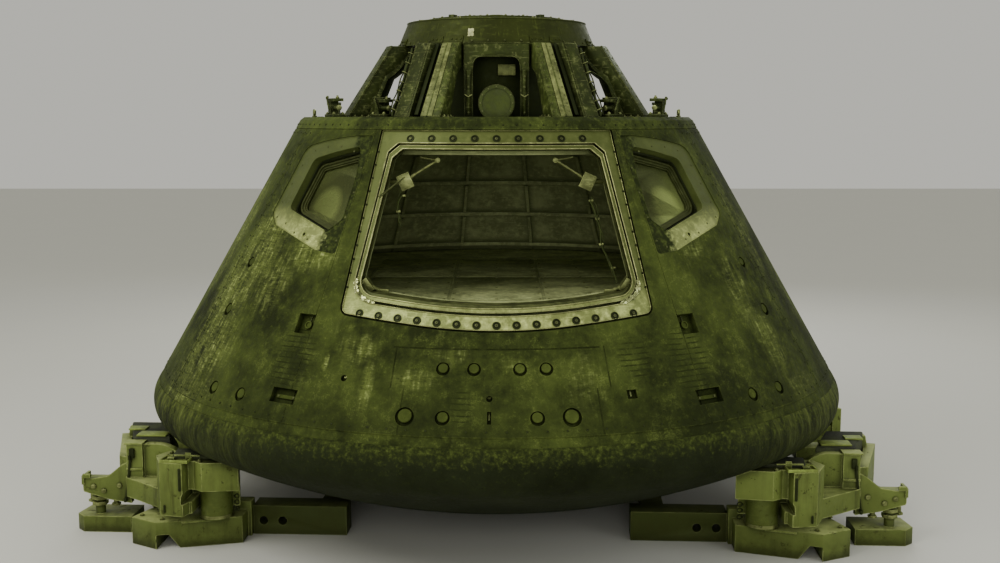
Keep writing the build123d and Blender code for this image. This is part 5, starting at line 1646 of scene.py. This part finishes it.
class CAPSULE_OT_arch_trim(bpy.types.Operator):
    """Adds the lip and joints of the arch, the plate behind it and the canister's band"""

    bl_idname = "capsule.arch_trim"
    bl_label = "Arch trim"

    def execute(self, context):
        bead("bay_arch", "bay_arch_lip", "bay_metal", 0.0045, lambda face: face.normal.y < -0.95
             and face.calc_center_median().z > BAY_LOW + 0.19)
        posts, joints, screws = [], [], []
        for side in (1, -1):
            x, y = side * POST_X, ARCH_Y - 0.012
            post = drum(24, POST_RADIUS, POST_LENGTH, (x, y, BAY_LOW + 0.012))
            open_edit(post)
            bpy.ops.mesh.select_all(action="SELECT")
            bpy.ops.mesh.bisect(plane_co=(0.0, 0.0, BAY_LOW + 0.138), plane_no=(0.0, 0.0, 1.0))
            bpy.ops.transform.resize(value=(POST_NARROW, POST_NARROW, 1.0), center_override=(x, y, 0.0))
            close_edit()
            round_edges(post, 0.004)
            posts.append(post)
            for way in (-1, 1):
                place = (x + way * JOINT_REACH, ARCH_Y - 0.016, BAY_LOW + JOINT_RISE)
                joints.append(blocks(((0.032, 0.036, 0.008), place, 0.002, "Y", -way * JOINT_LEAN)))
            screws += [flat_place(x, ARCH_Y - front, BAY_LOW + z, "X", 90.0) for z, front in ARCH_SCREWS]
        complete(join(posts), "bay_arch_posts", "bay_metal")
        complete(join(joints), "bay_arch_joints", "bare_metal")
        set_heads("bay_arch_screws", "bolt_metal", screws)
        complete(block(*BACK_PLATE), "bay_back_plate", "gusset_pale")
        bands = [canister_ring(*BAND, CANISTER_Y + back) for back in BANDS_BACK]
        complete(join(bands), "canister_bands", "bay_metal")
        complete(canister_ring(*CANISTER_RIM, CANISTER_Y - 0.003), "canister_rim", "canister_paint")
        set_heads("canister_bolts", "bolt_metal",
                  [flat_place(CANISTER_BOLT_RADIUS * sin(radians(angle)), CANISTER_Y - 0.006,
                              CANISTER_Z + CANISTER_BOLT_RADIUS * cos(radians(angle)), "X", 90.0)
                   for angle in range(-120, 121, 30)])
        return {"FINISHED"}


# ---------------------------------------------------------------- deck fittings

# Deck castings: azimuth, distance in from the deck's edge, height
DECK_CASTINGS = ((60.5, 0.145, 0.126), (46.0, 0.345, 0.118), (104.0, 0.145, 0.112), (134.0, 0.145, 0.084))
DECK_RADIUS = 1.4144

# On a casting: places of its nuts and the top of its foot, its stud and pins across, and its lever's place
# and lean
NUT_X, NUT_Y, CASTING_FOOT = (-0.055, 0.060), (-0.032, 0.032), 0.0185
STUD_X, PIN_X, LEVER_X, LEVER_Y, LEVER_LEAN = -0.046, (-0.066, 0.046), 0.004, -0.046, 24.0

# Rings on the deck: azimuths, radius; rings of deck screws: radius, how many, and the hatch's clear space
DECK_RING_AZIMUTHS, DECK_RING_RADIUS = (-168.0, -148.0, -90.0, 90.0, 148.0, 168.0, 76.0, -76.0), 1.335
DECK_SCREW_RINGS = ((1.300, 72), (0.560, 40))
CLEAR_Y, CLEAR_X = -1.18, 0.4


def ring_of(count, radius, z, first=0.0):
    """Places evenly round a circle about the axis."""
    return [ring_place(360.0 * index / count + first, radius, z) for index in range(count)]


class CAPSULE_OT_deck_hardware(bpy.types.Operator):
    """Sets the nuts, eyes, levers and pins of the castings on the deck"""

    bl_idname = "capsule.deck_hardware"
    bl_label = "Deck hardware"

    def execute(self, context):
        nuts, studs, pins, levers = [], [], [], []
        for azimuth, margin, height in DECK_CASTINGS:
            for side in (1, -1):
                flat = ring_place(side * azimuth, DECK_RADIUS - margin, BAY_LOW)
                nuts += [flat @ flat_place(side * x, y, CASTING_FOOT) for x in NUT_X for y in NUT_Y]
                studs.append(flat @ flat_place(side * STUD_X, 0.0, height + CLEAR, "Z", 20.0))
                pins += [flat @ flat_place(side * x, 0.0, height * 0.5, "Y", 90.0) for x in PIN_X]
                levers.append(flat @ flat_place(side * LEVER_X, LEVER_Y, height * 0.55, "Y",
                                                side * LEVER_LEAN))
        for name, places in (("deck_nuts", nuts), ("deck_stud_nuts", studs), ("deck_pins", pins)):
            set_nuts(name, places)
        lever = blocks(((0.014, 0.010, 0.090), (0.0, 0.0, 0.020), 0.003),
                       ((0.030, 0.016, 0.016), (0.006, 0.0, 0.066), 0.005))
        stamp(lever, levers, "deck_levers", "bay_metal")
        stamp(eye_bolt(0.020, 0.006, 0.010), [ring_place(azimuth, DECK_RING_RADIUS, BAY_LOW + CLEAR)
                                              for azimuth in DECK_RING_AZIMUTHS], "deck_rings", "bare_metal")
        screws = [place for radius, count in DECK_SCREW_RINGS
                  for place in ring_of(count, radius, BAY_LOW + THIN_CLEAR)]
        set_heads("deck_screws", "dark_metal", [place for place in screws if place.translation.y > CLEAR_Y
                                                or abs(place.translation.x) > CLEAR_X])
        return {"FINISHED"}


# ---------------------------------------------------------------- top ring and lid

# The top ring: radius at its foot and top, its height, and its lean in degrees
RING_FOOT_RADIUS, RING_TOP_RADIUS = 0.716, 0.645
RING_TOP, RING_HEIGHT = RING_HIGH.z, RING_HIGH.z - RING_LOW.z
RING_LEAN = degrees(atan2(RING_FOOT_RADIUS - RING_TOP_RADIUS, RING_HEIGHT))

# Half of the arc kept free of nuts for the lid's hinge, in degrees; top of the lid
HINGE_SPAN = 16.0
LID_TOP = RING_TOP + 0.034

# Rings turned about the axis: inner and outer radius, low and high side, steps
EDGE_BEAD = (0.6340, 0.6500, RING_TOP - 0.004, RING_TOP + 0.005, 160)
HUB_RING = (0.100, 0.118, LID_TOP + 0.0075, LID_TOP + 0.014, 72)

# Bolts low on the top ring: how many, the first one's azimuth, part of the way up; and the pads' part
LOWER_BOLTS, LOWER_FIRST, LOWER_UP, PADS_UP = 40, 4.5, 0.10, 0.14

# Circles about the axis: how many fittings and their radius; the nuts' height over the ring's top
DOCKING_NUTS, PLATE_BOLTS, LID_RIBS, LID_SCREWS = (24, 0.482), (48, 0.618), (8, 0.352), (24, 0.428)
DOCKING_NUT_RISE, LATCH_NUT_RISE = 0.0302, 0.0142

# The blank tag: azimuth, part of the way up the ring, width, height, and how ragged its edges are
TAG_AZIMUTH, TAG_UP, TAG_WIDTH, TAG_HEIGHT, TAG_RAGGED = -14.6, 0.42, 0.040, 0.056, 0.006

# Latches on the docking ring, on both sides: azimuths, radius, and their nuts' places across and inwards
LATCH_AZIMUTHS, LATCH_RADIUS, LATCH_NUTS, LATCH_NUT_IN = (32.0, 90.0, 144.0), 0.552, (-0.036, -0.012), 0.020

# Handle on the lid: x and height over the lid of its points, and its place in front of the axis
HANDLE, HANDLE_Y = ((-0.062, 0.004), (-0.062, 0.019), (0.0, 0.022), (0.062, 0.019), (0.062, 0.004)), -0.17


def on_ring(azimuth, up, lift=0.0):
    """A matrix on the top ring's sloping side: Z out, Y up it."""
    radius = RING_FOOT_RADIUS + (RING_TOP_RADIUS - RING_FOOT_RADIUS) * up
    side = ring_place(azimuth, radius, RING_LOW.z + RING_HEIGHT * up, 90.0 - RING_LEAN)
    return side @ flat_place(0.0, 0.0, lift)


class CAPSULE_OT_ring_hardware(bpy.types.Operator):
    """Sets the bolts and the blank tag of the top ring, the docking ring's studs and the lid's ribs"""

    bl_idname = "capsule.ring_hardware"
    bl_label = "Ring hardware"

    def execute(self, context):
        set_heads("ring_lower_bolts", "bay_metal",
                  [on_ring(360.0 * index / LOWER_BOLTS + LOWER_FIRST, LOWER_UP, CLEAR)
                   for index in range(LOWER_BOLTS)])
        edge = turned_ring(*EDGE_BEAD)
        round_edges(edge, 0.002)
        complete(edge, "ring_edge_bead", "lid_paint")
        pad = blocks(((0.096, 0.052, 0.006), (0.0, 0.004, 0.003), 0.003),
                     *(((0.012, 0.012, 0.012), (x, 0.004, 0.006), 0.003) for x in (-0.034, 0.0, 0.034)))
        stamp(pad, [on_ring(side * gusset[1], PADS_UP) for gusset in GUSSETS for side in (1, -1)],
              "ring_gusset_pads", "ring_paint")
        tag = start(bpy.ops.mesh.primitive_grid_add, x_subdivisions=7, y_subdivisions=9, size=1.0)
        for vertex in tag.data.vertices:
            x, y, _ = vertex.co
            ragged = turbulence(Vector((x * 5.0, y * 5.0, 2.0)), 3, False) * TAG_RAGGED
            vertex.co = (x * TAG_WIDTH + (ragged if abs(x) > 0.4 else 0.0),
                         y * TAG_HEIGHT + (ragged if abs(y) > 0.4 else 0.0), 0.002 + ragged * 0.25)
        apply_modifier(tag, "SOLIDIFY", thickness=0.0012, offset=0.0)
        stamp(tag, [on_ring(TAG_AZIMUTH, TAG_UP, 0.0015)], "ring_blank_tag", "tag_paper")

        count, radius = DOCKING_NUTS
        azimuths = [360.0 * (index + 0.5) / count for index in range(count)]
        set_nuts("docking_ring_nuts", [ring_place(azimuth, radius, RING_TOP + DOCKING_NUT_RISE)
                                       for azimuth in azimuths if abs(azimuth - 180.0) > HINGE_SPAN])
        set_heads("ring_plate_bolts", "dark_metal", ring_of(*PLATE_BOLTS, RING_TOP + THIN_CLEAR, 3.75))
        set_nuts("latch_nuts", [ring_place(side * azimuth, LATCH_RADIUS, RING_TOP + LATCH_NUT_RISE)
                                @ flat_place(x * side, LATCH_NUT_IN, 0.0)
                                for azimuth in LATCH_AZIMUTHS for side in (1, -1) for x in LATCH_NUTS])
        stamp(strip(0.014, 0.128, 0.006), ring_of(*LID_RIBS, LID_TOP - CLEAR, 22.5), "lid_ribs", "lid_paint",
              "tunnel_hatch")
        ring = turned_ring(*HUB_RING)
        round_edges(ring, 0.002)
        complete(ring, "lid_hub_ring", "lid_paint", "tunnel_hatch")
        handle = tube([(x, HANDLE_Y, LID_TOP + lift) for x, lift in HANDLE], 0.0065, 8, 4)
        complete(handle, "lid_handle", "bare_metal", "tunnel_hatch")
        set_heads("lid_screws", "bare_metal", ring_of(*LID_SCREWS, LID_TOP - CLEAR), "tunnel_hatch")
        return {"FINISHED"}


# ---------------------------------------------------------------- cabin

# Ring frames on the cabin's wall: height, azimuth where each starts; depth of the wall and size of a frame
RING_FRAMES, WALL_INSET = ((1.700, 52.0), (1.980, 66.0), (2.260, 66.0), (2.520, 66.0)), 0.212
FRAME_DEPTH, FRAME_HALF = 0.040, 0.014

# Uprights between the ring frames: heights they run between, depth of their middle, width and thickness,
# azimuths
UPRIGHT_SPANS, UPRIGHT_INSET = ((1.655, 1.960), (1.998, 2.240), (2.278, 2.500)), 0.226
UPRIGHT_WIDTH, UPRIGHT_DEPTH, UPRIGHT_AZIMUTHS = 0.026, 0.034, range(70, 291, 20)

# Floor plates: places of their middles, the screwed ones first; their size
SCREWED_PLATES = ((-0.62, -0.75), (0.0, -0.75), (0.62, -0.75), (-0.62, 0.40), (0.0, 0.40), (0.62, 0.40))
SIDE_PLATES, PLATE_SIZE = ((-1.24, -0.20), (1.24, -0.20)), (0.60, 1.10, 0.004)
FLOOR_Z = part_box("cabin_floor")[1].z

# Heights over the floor of the plates' middles and of their screws, and the screws' places on a plate
PLATE_RISE, FLOOR_SCREW_RISE = 0.0020, 0.0038
FLOOR_SCREW_X, FLOOR_SCREW_Y = (-0.28, 0.0, 0.28), (-0.52, -0.26, 0.0, 0.26, 0.52)

# Plates behind the sill: size, middle, rounding
SILL_PLATES = (((0.385, 0.060, 0.010), (-0.200, -1.640, FLOOR_Z + 0.0052), 0.003),
               ((0.300, 0.034, 0.014), (0.170, -1.652, FLOOR_Z + 0.0072), 0.003),
               ((0.300, 0.060, 0.008), (0.500, -1.590, FLOOR_Z + 0.0042), 0.003))

# Wires down the sides of the hatch's reveal: side, radius, then width, height and inset from the hull
REVEAL_WIRES = (
    (1, 0.0055, ((0.585, 2.300, 0.150), (0.612, 2.245, 0.158), (0.622, 2.190, 0.150), (0.652, 2.120, 0.165),
                 (0.640, 2.040, 0.150), (0.684, 1.960, 0.168), (0.712, 1.900, 0.150), (0.738, 1.815, 0.156))),
    (1, 0.0038, ((0.592, 2.320, 0.165), (0.640, 2.260, 0.150), (0.630, 2.170, 0.172), (0.664, 2.090, 0.150),
                 (0.660, 2.010, 0.170), (0.690, 1.930, 0.155), (0.720, 1.850, 0.170))),
    (-1, 0.0055, ((0.590, 2.330, 0.150), (0.616, 2.300, 0.160), (0.620, 2.235, 0.150), (0.600, 2.185, 0.165))),
    (-1, 0.0038, ((0.600, 2.360, 0.165), (0.628, 2.310, 0.150), (0.606, 2.240, 0.170), (0.612, 2.170, 0.150),
                  (0.590, 2.140, 0.165))),
)
CLAMPED_RADIUS = 0.005


def back_frame(z, first):
    """A ring frame on the cabin's wall, cut off with closed ends so that it starts at an azimuth."""
    radius = hull_radius(z, WALL_INSET)
    piece = turned_ring(radius - FRAME_DEPTH, radius, z - FRAME_HALF, z + FRAME_HALF)
    open_edit(piece)
    bpy.ops.mesh.select_all(action="SELECT")
    bpy.ops.mesh.bisect(plane_co=(0.0, -radius * cos(radians(first)), 0.0), plane_no=(0.0, -1.0, 0.0),
                        clear_outer=True, use_fill=True)
    close_edit()
    return piece


class CAPSULE_OT_cabin_fittings(bpy.types.Operator):
    """Lines the cabin with ring frames, uprights and floor plates, and the sill with its ledge"""

    bl_idname = "capsule.cabin_fittings"
    bl_label = "Cabin fittings"

    def execute(self, context):
        complete(join([back_frame(*row) for row in RING_FRAMES]), "cabin_ring_frames", "cabin_lining")
        uprights = []
        for azimuth in UPRIGHT_AZIMUTHS:
            for low, high in UPRIGHT_SPANS:
                upright = block(UPRIGHT_WIDTH, (high - low) / cos(HULL_ANGLE), UPRIGHT_DEPTH)
                upright.matrix_world = hull_place(azimuth, (low + high) / 2, UPRIGHT_INSET)
                uprights.append(upright)
        complete(join(uprights), "cabin_uprights", "cabin_lining")
        plates = [block(*PLATE_SIZE, (x, y, FLOOR_Z + PLATE_RISE), 0.001)
                  for x, y in SCREWED_PLATES + SIDE_PLATES]
        complete(join(plates), "cabin_floor_plates", "cabin_floor")
        set_heads("cabin_floor_screws", "bare_metal",
                  [flat_place(x + dx, y + dy, FLOOR_Z + FLOOR_SCREW_RISE) for x, y in SCREWED_PLATES
                   for dx in FLOOR_SCREW_X for dy in FLOOR_SCREW_Y])
        complete(blocks(*SILL_PLATES), "cabin_sill_plates", "reveal_metal")
        return {"FINISHED"}


class CAPSULE_OT_reveal_wires(bpy.types.Operator):
    """Clamps the wires down the sides of the hatch's reveal"""

    bl_idname = "capsule.reveal_wires"
    bl_label = "Reveal wires"

    def execute(self, context):
        wires, clips = [], []
        for side, radius, points in REVEAL_WIRES:
            places = [front_place(side * x, z, inset) for x, z, inset in points]
            wires.append(tube([place.translation for place in places], radius, 8, 3))
            if radius > CLAMPED_RADIUS:
                clips += places[::2]
        complete(join(wires), "reveal_wires", "harness", smooth=60.0)
        clip = blocks(((0.030, 0.014, 0.008), (0.008, 0.0, -0.004), 0.002),
                      ((0.010, 0.010, 0.014), (0.016, 0.0, 0.0), 0.002))
        stamp(clip, clips, "reveal_wire_clips", "bare_metal")
        return {"FINISHED"}


# ---------------------------------------------------------------- cradle fittings

# The seat point of the cradle's front right quarter, and the cradle's turn about the axis in degrees
SEAT_X, SEAT_Y = 2.26577, -1.05655
CRADLE_TURN = -3.0

# Blocks of one quarter of the cradle, from its seat point, X out and Y to the rear: piece, finish,
# then for each block its size, its middle, its rounding, and any axis and degrees of turn
CRADLE_BLOCKS = (
    # the strap down the front of the post with its hook, and its latch box with a toggle
    ("cradle_straps", "dark_metal", ((0.017, 0.008, 0.345), (0.180, -0.0885, 0.395), 0.003, "Y", -8.0),
     ((0.020, 0.026, 0.030), (0.206, -0.092, 0.232), 0.006)),
    ("cradle_strap_latches", "dark_metal", ((0.034, 0.018, 0.066), (0.150, -0.0925, 0.560), 0.004),
     ((0.014, 0.012, 0.034), (0.164, -0.104, 0.532), 0.003)),
    # the seam plate across the post, its lid, and the plates over the pads
    ("cradle_post_plates", "cradle_paint", ((0.116, 0.008, 0.016), (0.137, -0.0865, 0.448), 0.002),
     ((0.130, 0.100, 0.012), (0.142, -0.040, 0.6235), 0.003)),
    ("cradle_pad_plates", "cradle_pale", ((0.205, 0.120, 0.012), (0.060, 0.100, 0.6465), 0.003),
     ((0.120, 0.090, 0.012), (0.215, 0.250, 0.6465), 0.003)),
    # on top of the C block: an upright tab, a cross bar and a lug
    ("cradle_block_tabs", "cradle_paint", ((0.040, 0.010, 0.052), (-0.338, -0.404, 0.634), 0.003),
     ((0.170, 0.014, 0.010), (-0.330, -0.404, 0.640), 0.002),
     ((0.046, 0.030, 0.022), (-0.230, -0.420, 0.622), 0.004)),
    # dark blocks beside the jaw and low in the column: painted shade for the shaded slots there
    ("cradle_block_slots", "dark_metal", ((0.018, 0.012, 0.150), (-0.301, -0.489, 0.500), 0.005),
     ((0.012, 0.010, 0.050), (-0.190, -0.470, 0.300), 0.004)),
    # the outrigger's end plate and its hinge block
    ("cradle_arm_plates", "cradle_paint", ((0.020, 0.130, 0.064), (0.502, -0.016, 0.362), 0.004),
     ((0.056, 0.024, 0.030), (0.476, -0.074, 0.392), 0.006)),
    # lips beside the notch in the shoe
    ("cradle_shoe_lips", "cradle_paint", ((0.014, 0.150, 0.022), (-0.108, -0.320, 0.172), 0.003, "Z", -30.0),
     ((0.200, 0.014, 0.014), (-0.360, -0.337, 0.176), 0.003, "Z", -16.7)),
)

# Nuts of one quarter of the cradle: piece, then for each kind its radius, height, stud and stud's rise,
# the turn about X that it stands at, and its places
CRADLE_NUTS = (
    ("cradle_block_nuts", ((0.014, 0.012, 0.007, 0.006), 0.0, (
        (-0.180, -0.330, 0.6085), (-0.180, -0.250, 0.6085), (-0.420, -0.440, 0.6085), (-0.600, -0.400, 0.6085),
        (-0.420, -0.425, 0.6085)))),
    ("cradle_jack_nuts", ((0.056, 0.026, 0.034, 0.004), 0.0, ((0.414, -0.003, 0.173), (0.414, -0.003, 0.212))),
     ((0.032, 0.016, 0.018, 0.040), 0.0, (
         (0.300, -0.010, 0.1725), (0.490, 0.060, 0.1725), (0.260, 0.110, 0.1725)))),
    ("cradle_arm_bolts", ((0.018, 0.010, 0.010, 0.004), 90.0, (
        (0.250, -0.0735, 0.330), (0.430, -0.0735, 0.320), (0.360, -0.0735, 0.290)))),
    ("cradle_shoe_bolts", ((0.015, 0.010, 0.008, 0.005), 0.0, (
        (0.030, -0.270, 0.1855), (0.010, -0.080, 0.1855), (-0.130, -0.345, 0.1855), (-0.300, -0.060, 0.1855)))),
)

# Collars on a roller: its place, then half their height and their height over the ground
ROLLER_X, ROLLER_Y, COLLARS = -0.468, -0.243, ((0.010, 0.2010), (0.008, 0.4060))
ROLLER_EYES_X, ROLLER_EYES_Y, ROLLER_EYES = -0.600, -0.300, (0.300, 0.340, 0.255)
TRAY_SIZE, TRAY_PLACE = (0.190, 0.110, 0.020), (-0.265, -0.420, 0.6165, "Z", 6.0)


def quarter_stamp(pattern, name, material):
    """Copies a piece of one quarter of the cradle to all four and turns its faces outwards."""
    turn = Matrix.Rotation(radians(CRADLE_TURN), 4, "Z")
    places = [turn @ Matrix.Diagonal((across, front, 1.0, 1.0)) @ Matrix.Translation((SEAT_X, SEAT_Y, 0.0))
              for across, front in ((1, 1), (-1, 1), (1, -1), (-1, -1))]
    weld(stamp(settle(pattern), places, name, material))


class CAPSULE_OT_cradle_fittings(bpy.types.Operator):
    """Adds the cradle's straps, plates, trays, nuts, roller collars and eyes"""

    bl_idname = "capsule.cradle_fittings"
    bl_label = "Cradle fittings"

    def execute(self, context):
        for name, material, *rows in CRADLE_BLOCKS:
            quarter_stamp(blocks(*rows), name, material)
        tray = start(bpy.ops.mesh.primitive_cube_add, size=1.0)
        tray.scale = TRAY_SIZE
        shape_top(settle(tray), (0.010, "pull", -0.014))
        round_edges(tray, 0.0015, 1)
        quarter_stamp(settle(tray, flat_place(*TRAY_PLACE)), "cradle_block_trays", "cradle_pale")
        for name, *kinds in CRADLE_NUTS:
            nuts = [settle(hexagon_nut(*nut), flat_place(*place, "X", turn)) for nut, turn, places in kinds
                    for place in places]
            quarter_stamp(join(nuts), name, "roller_metal")
        collars = [settle(turned_ring(0.060, 0.1075, -half, half, 64), flat_place(ROLLER_X, ROLLER_Y, z))
                   for half, z in COLLARS]
        quarter_stamp(join(collars), "cradle_roller_collars", "roller_metal")
        eyes = [settle(eye_bolt(0.014, 0.004, 0.008), flat_place(ROLLER_EYES_X, ROLLER_EYES_Y, z, "Y", -90.0))
                for z in ROLLER_EYES]
        quarter_stamp(join(eyes), "cradle_roller_eyes", "dark_metal")
        return {"FINISHED"}


# ---------------------------------------------------------------- studio

# Soft lights: name, place, target, size, share of the key light's power, colour
LIGHTS = (
    ("key", (-6.5, -6.0, 8.5), (0.0, 0.0, 1.6), (6.0, 5.0), 1.0, (1.0, 0.985, 0.94)),
    ("front", (-0.5, -10.5, 3.4), (0.0, 0.0, 1.9), (6.0, 3.0), 0.34, (1.0, 0.99, 0.95)),
    ("fill", (8.0, -6.5, 5.5), (0.0, 0.0, 1.6), (6.0, 5.0), 0.42, (0.96, 0.98, 1.0)),
    ("back", (1.5, 8.5, 7.0), (0.0, 0.0, 2.2), (7.0, 4.0), 0.60, (1.0, 1.0, 1.0)),
)
SKY_COLOUR, SKY_STRENGTH = (0.93, 0.92, 0.84, 1.0), 0.62

# The photo's camera: how far it looks down in degrees, its sideways shift and its sensor's width
CAMERA_DOWN, CAMERA_SHIFT, CAMERA_SENSOR = 7.666, 0.0035, 36.0


def area_light(name, place, target, size, power, colour):
    data = bpy.data.lights.new(name, "AREA")
    data.shape = "RECTANGLE"
    data.size, data.size_y = size
    data.energy = power
    data.color = colour
    lamp = bpy.data.objects.new(name, data)
    bpy.context.scene.collection.objects.link(lamp)
    lamp.location = place
    lamp.rotation_euler = (Vector(target) - Vector(place)).to_track_quat("-Z", "Y").to_euler()


def floor_finish(tone):
    surface = Finish("floor_surface", 0.62, Specular_IOR_Level=0.3)
    cloud = surface.noise(0.8, 6.0, 0.6)
    colour = surface.mix(surface.spread(cloud, 0.3, 0.7, 0.0, 0.2), tone, times(tone, 0.93))
    return surface.shade(colour, None, surface.bump(surface.noise(60.0, 4.0, 0.6), 0.02, 0.002))


class CAPSULE_OT_studio(bpy.types.Operator):
    """Sets out the pale floor, the soft light and the camera"""

    bl_idname = "capsule.studio"
    bl_label = "Studio"

    def execute(self, context):
        studio = context.scene.capsule_studio
        floor = start(bpy.ops.mesh.primitive_plane_add, size=studio.floor_size)
        open_edit(floor)
        bpy.ops.mesh.select_all(action="SELECT")
        bpy.ops.mesh.subdivide(number_cuts=8)
        close_edit()
        floor.name = "floor"
        floor.data.materials.append(floor_finish(studio.floor_tone))

        camera = bpy.data.cameras.new("camera")
        camera.lens = studio.lens
        camera.sensor_width = CAMERA_SENSOR
        camera.shift_x = CAMERA_SHIFT
        eye = bpy.data.objects.new("camera", camera)
        context.scene.collection.objects.link(eye)
        eye.location = (0.0, -studio.distance, studio.height)
        eye.rotation_euler = (radians(90.0 - CAMERA_DOWN), 0.0, 0.0)
        context.scene.camera = eye

        for name, place, target, size, share, colour in LIGHTS:
            area_light(name, place, target, size, studio.key_power * share, colour)
        world = bpy.data.worlds.new("studio")
        context.scene.world = world
        world.use_nodes = True
        sky = world.node_tree.nodes["Background"]
        sky.inputs["Color"].default_value = SKY_COLOUR
        sky.inputs["Strength"].default_value = SKY_STRENGTH
        return {"FINISHED"}


OPERATORS = (
    CAPSULE_OT_finishes,
    CAPSULE_OT_hatch_fasteners,
    CAPSULE_OT_hatch_seals,
    CAPSULE_OT_reveal_wires,
    CAPSULE_OT_window_trim,
    CAPSULE_OT_hull_plugs,
    CAPSULE_OT_pocket_fittings,
    CAPSULE_OT_hull_screws,
    CAPSULE_OT_seam_packing,
    CAPSULE_OT_bay_bodies,
    CAPSULE_OT_gusset_trim,
    CAPSULE_OT_bay_harness,
    CAPSULE_OT_arch_trim,
    CAPSULE_OT_deck_hardware,
    CAPSULE_OT_ring_hardware,
    CAPSULE_OT_cabin_fittings,
    CAPSULE_OT_cradle_bodies,
    CAPSULE_OT_cradle_fittings,
    CAPSULE_OT_studio,
)


class CAPSULE_PT_panel(bpy.types.Panel):
    """Lists the capsule's sizes, colours and steps"""

    bl_idname = "CAPSULE_PT_panel"
    bl_label = "Space capsule"
    bl_space_type = "VIEW_3D"
    bl_region_type = "UI"
    bl_category = "Capsule"

    def draw(self, context):
        layout = self.layout
        for operator in OPERATORS:
            layout.operator(operator.bl_idname)
        for group in (context.scene.capsule_sizes, context.scene.capsule_colours, context.scene.capsule_studio):
            box = layout.box()
            for name in group.bl_rna.properties.keys():
                if name not in ("rna_type", "name"):
                    box.prop(group, name)


CLASSES = (CapsuleColours, CapsuleSizes, CapsuleStudio) + OPERATORS + (CAPSULE_PT_panel,)


def register():
    for item in CLASSES:
        bpy.utils.register_class(item)
    bpy.types.Scene.capsule_colours = PointerProperty(type=CapsuleColours)
    bpy.types.Scene.capsule_sizes = PointerProperty(type=CapsuleSizes)
    bpy.types.Scene.capsule_studio = PointerProperty(type=CapsuleStudio)


def unregister():
    del bpy.types.Scene.capsule_studio
    del bpy.types.Scene.capsule_sizes
    del bpy.types.Scene.capsule_colours
    for item in reversed(CLASSES):
        bpy.utils.unregister_class(item)


def main():
    register()
    for operator in OPERATORS:
        group, name = operator.bl_idname.split(".")
        getattr(getattr(bpy.ops, group), name)()
    bpy.context.view_layer.update()


if __name__ == "__main__":
    main()
